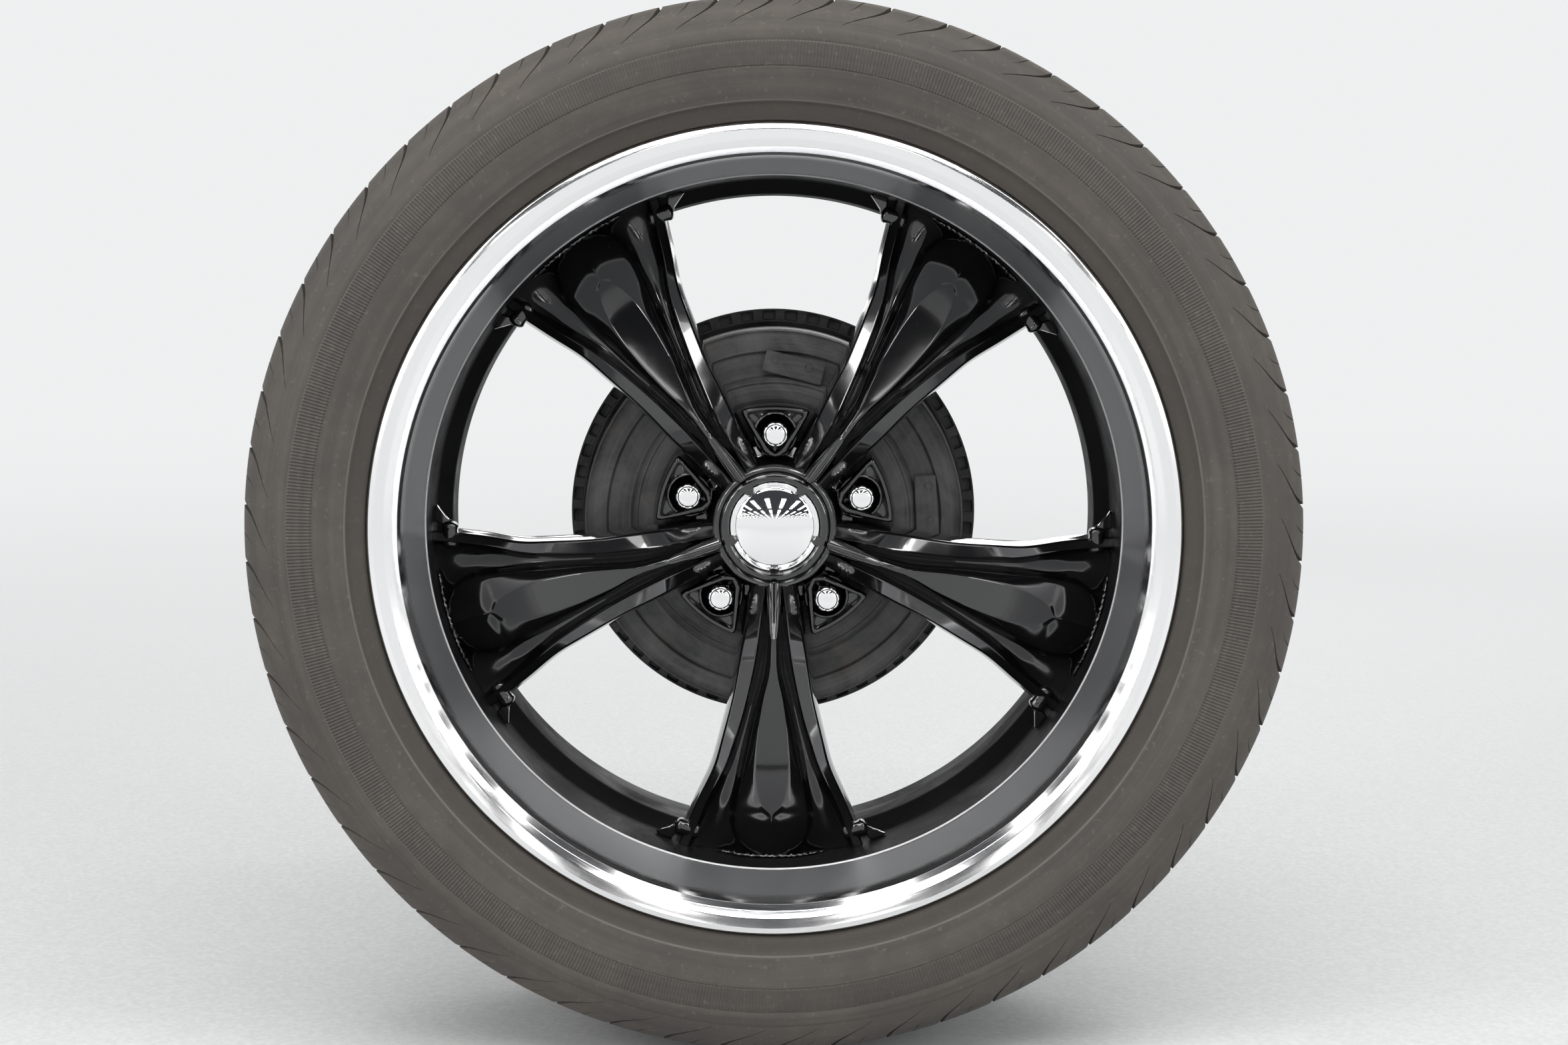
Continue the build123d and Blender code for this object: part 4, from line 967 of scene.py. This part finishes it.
def makeWeight(name, shape, angle, tilt):
    # a flat balance weight with two flush rivets
    work = bmesh.new()
    thick, rivet = shape["thickness"], shape["rivet"]
    bmesh.ops.create_cube(work, size=1)
    for v in work.verts:
        wide = shape["width"] + (1.2 if v.co.x > 0 else 0)
        v.co = Vector((v.co.x * shape["length"], v.co.y * thick + shape["top"] + thick / 2, v.co.z * wide))
    bmesh.ops.bevel(work, geom=work.edges[:], offset=0.6, segments=2, affect="EDGES")
    for across, up in shape["rivets"]:
        # a rim, a groove inside it and the rivet's flat head, as (radius, rise)
        loops = []
        for radius, rise in ((rivet + 0.7, 0.25), (rivet + 0.45, -0.35), (rivet + 0.1, -0.3), (rivet, 0.35),
                             (rivet - 0.35, -0.25), (rivet * 0.5, -0.3)):
            turns = [2 * pi * k / 24 for k in range(24)]
            loops.append([work.verts.new((across + radius * cos(t), shape["top"] + rise, up + radius * sin(t)))
                          for t in turns])
        for outer, inner in zip(loops, loops[1:]):
            for k in range(24):
                work.faces.new((outer[k], outer[k - 1], inner[k - 1], inner[k]))
        work.faces.new(loops[-1])
    points = []
    work.verts.index_update()
    for v in work.verts:
        x, z = turned(v.co.x, v.co.z, tilt)
        x, z = turned(x, z + shape["ring"], angle)
        points.append((x, v.co.y, z))
    faces = [[v.index for v in f.verts] for f in work.faces]
    work.free()
    return makePiece(name, points, faces, [castIron])


for number, (angle, tilt) in enumerate(weightShape["places"], start=1):
    weight = makeWeight(f"balance_weight_{number}", weightShape, angle, tilt)
    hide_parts(f"drum_weight_{number}")
    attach(weight, "wheel")
print("drum made")

# CAD nodes that keep their shape
nodeFinish = {
    "valve": plainRubber, "axle_shaft": forged, "axle_tube": axlePaint, "housing_end": axlePaint,
    "wheel_bearing": forged, "shaft_seal": plainRubber, "backing_plate": pressedBlack, "wheel_cylinder": castIron,
    "spring_perch": axlePaint,
    **{f"wheel_stud_{n}": plated for n in range(1, 6)}, **{f"plate_bolt_{n}": plated for n in range(1, 5)},
}
for name, finish in nodeFinish.items():
    nodes[name].data.materials.clear()
    nodes[name].data.materials.append(finish)


def lookRays(tree):
    # 1 for what the camera sees, straight, mirrored or through glass
    path = addNode(tree, "ShaderNodeLightPath").outputs
    other = mathNode("MAXIMUM", path["Is Glossy Ray"], path["Is Transmission Ray"])
    return mathNode("MAXIMUM", path["Is Camera Ray"], other)


def mixShaders(tree, output, share, first, second):
    both = addNode(tree, "ShaderNodeMixShader", {0: share, 1: first.outputs[0], 2: second.outputs[0]})
    feed(tree.nodes[output].inputs[0], both.outputs[0])


backdropColour = (0.86, 0.87, 0.875)
floorPlan = {"colours": ((0.60, 0.61, 0.61), (0.70, 0.71, 0.71)), "reach": 14, "height": -0.3645}


def makeFloor(plan):
    finish, tree, shader = newFinish("paleFloor", Roughness=0.55, Specular_IOR_Level=0.3)
    where = objectPlace(tree)
    shade = ramp(noise(where, 240, 3), (0.35, 0), (0.7, 1))
    feed(shader["Base Color"], mixColour(shade, *plan["colours"]))
    # far away the floor fades into the backdrop, so that no horizon shows
    x, y, z = addNode(tree, "ShaderNodeSeparateXYZ", {0: where}).outputs
    away = mathNode("SQRT", plus(times(x, x), times(y, y)))
    near = mathNode("DIVIDE", 1, plus(away, 1.6))
    fade = mapRange(near, 0.54, 0.09, interpolation_type="SMOOTHSTEP")
    far = addNode(tree, "ShaderNodeEmission", {"Color": (*backdropColour, 1), "Strength": 1.0})
    mixShaders(tree, "Material Output", times(fade, lookRays(tree)), tree.nodes["Principled BSDF"], far)
    mesh = bpy.data.meshes.new("floor")
    reach, height = plan["reach"], plan["height"]
    corners = ((-reach, -reach), (reach, -reach), (reach, reach), (-reach, reach))
    mesh.from_pydata([(*corner, height) for corner in corners], [], [(0, 1, 2, 3)])
    mesh.materials.append(finish)
    floor = placeObject("floor", mesh)


makeFloor(floorPlan)
lampPlan = {
    # name: place, aimed at, width, height, watts
    "frontStrip": ((0, -2.6, 2.4), (0, -0.35, 0), 2.8, 0.16, 26),
    "middleStrip": ((0.2, -1.5, 2.6), (0, -0.35, 0), 2.6, 0.14, 20),
    "leftStrip": ((-1.5, -1.5, 2.1), (0, -0.35, 0), 0.14, 2.4, 16),
    "rightStrip": ((1.7, -1.6, 2), (0, -0.35, 0), 0.14, 2.2, 12),
    "leftBox": ((-2.6, -2.3, 1.2), (0, -0.35, 0), 1, 1.4, 28),
    "rightBox": ((2.6, -2.1, 1), (0, -0.35, 0), 0.9, 1.2, 18),
    "backBox": ((0.6, 2.4, 1.6), (0, -0.1, 0), 1.6, 1.2, 26),
}
for name, (place, aim, wide, high, watts) in lampPlan.items():
    lamp = bpy.data.lights.new(name, "AREA")
    lamp.shape = "RECTANGLE"
    lamp.size, lamp.size_y, lamp.energy = wide, high, watts
    holder = placeObject(name, lamp)
    holder.location = place
    holder.rotation_euler = (Vector(aim) - Vector(place)).to_track_quat("-Z", "Y").to_euler()

# what is seen and mirrored: the pale backdrop, and for mirrored rays a dim ceiling with rows of lamps over it
ceilingPlan = {
    "light": ((0.93, 0.94, 0.95, 1), 0.5),  # the colour and strength that light the object
    "dim": (0.045, 0.047, 0.052),
    "lamp": (4.6, 4.55, 4.5),
    # pitch and size of the lamps across and along their rows, in ceiling heights
    "X": (0.72, 0.20),
    "Y": (1.9, 1.35),
}


def makeWorld(plan):
    world = bpy.data.worlds.new("studio")
    bpy.context.scene.world = world
    world.use_nodes = True
    sky = world.node_tree
    backing = sky.nodes["Background"]
    backing.inputs["Color"].default_value, backing.inputs["Strength"].default_value = plan["light"]
    direction = addNode(sky, "ShaderNodeTexCoord").outputs["Generated"]
    upward = addNode(sky, "ShaderNodeSeparateXYZ", {0: direction}).outputs
    ceiling = ramp(upward["Z"], (0.05, 0), (0.20, 1), "EASE")
    mirrored = addNode(sky, "ShaderNodeLightPath").outputs["Is Glossy Ray"]
    height = mathNode("MAXIMUM", upward["Z"], 0.03)
    rows = []
    for axis in "XY":
        pitch, size = plan[axis]
        along = plus(mathNode("DIVIDE", upward[axis], height), 0.31)
        rows.append(mathNode("LESS_THAN", mathNode("PINGPONG", along, pitch / 2), size / 2))
    overhead = mixColour(times(*rows), plan["dim"], plan["lamp"])
    shade = mixColour(times(ceiling, mirrored), backdropColour, overhead)
    seen = addNode(sky, "ShaderNodeBackground", {"Color": shade, "Strength": 1.0})
    mixShaders(sky, "World Output", lookRays(sky), backing, seen)


makeWorld(ceilingPlan)
cameraPlan = {"place": (-0.0130, -2.0148, 0.1477), "down": 5.12, "right": 0.69, "lens": 53.70}
lens = bpy.data.cameras.new("camera")
lens.lens, lens.sensor_width = cameraPlan["lens"], 36.0
lens.clip_start, lens.clip_end = 0.01, 100.0
camera = placeObject("camera", lens)
camera.location = cameraPlan["place"]
camera.rotation_euler = (radians(90 - cameraPlan["down"]), 0, -radians(cameraPlan["right"]))
bpy.context.scene.camera = camera
bpy.context.scene.view_settings.view_transform = "Standard"

print("scene made")
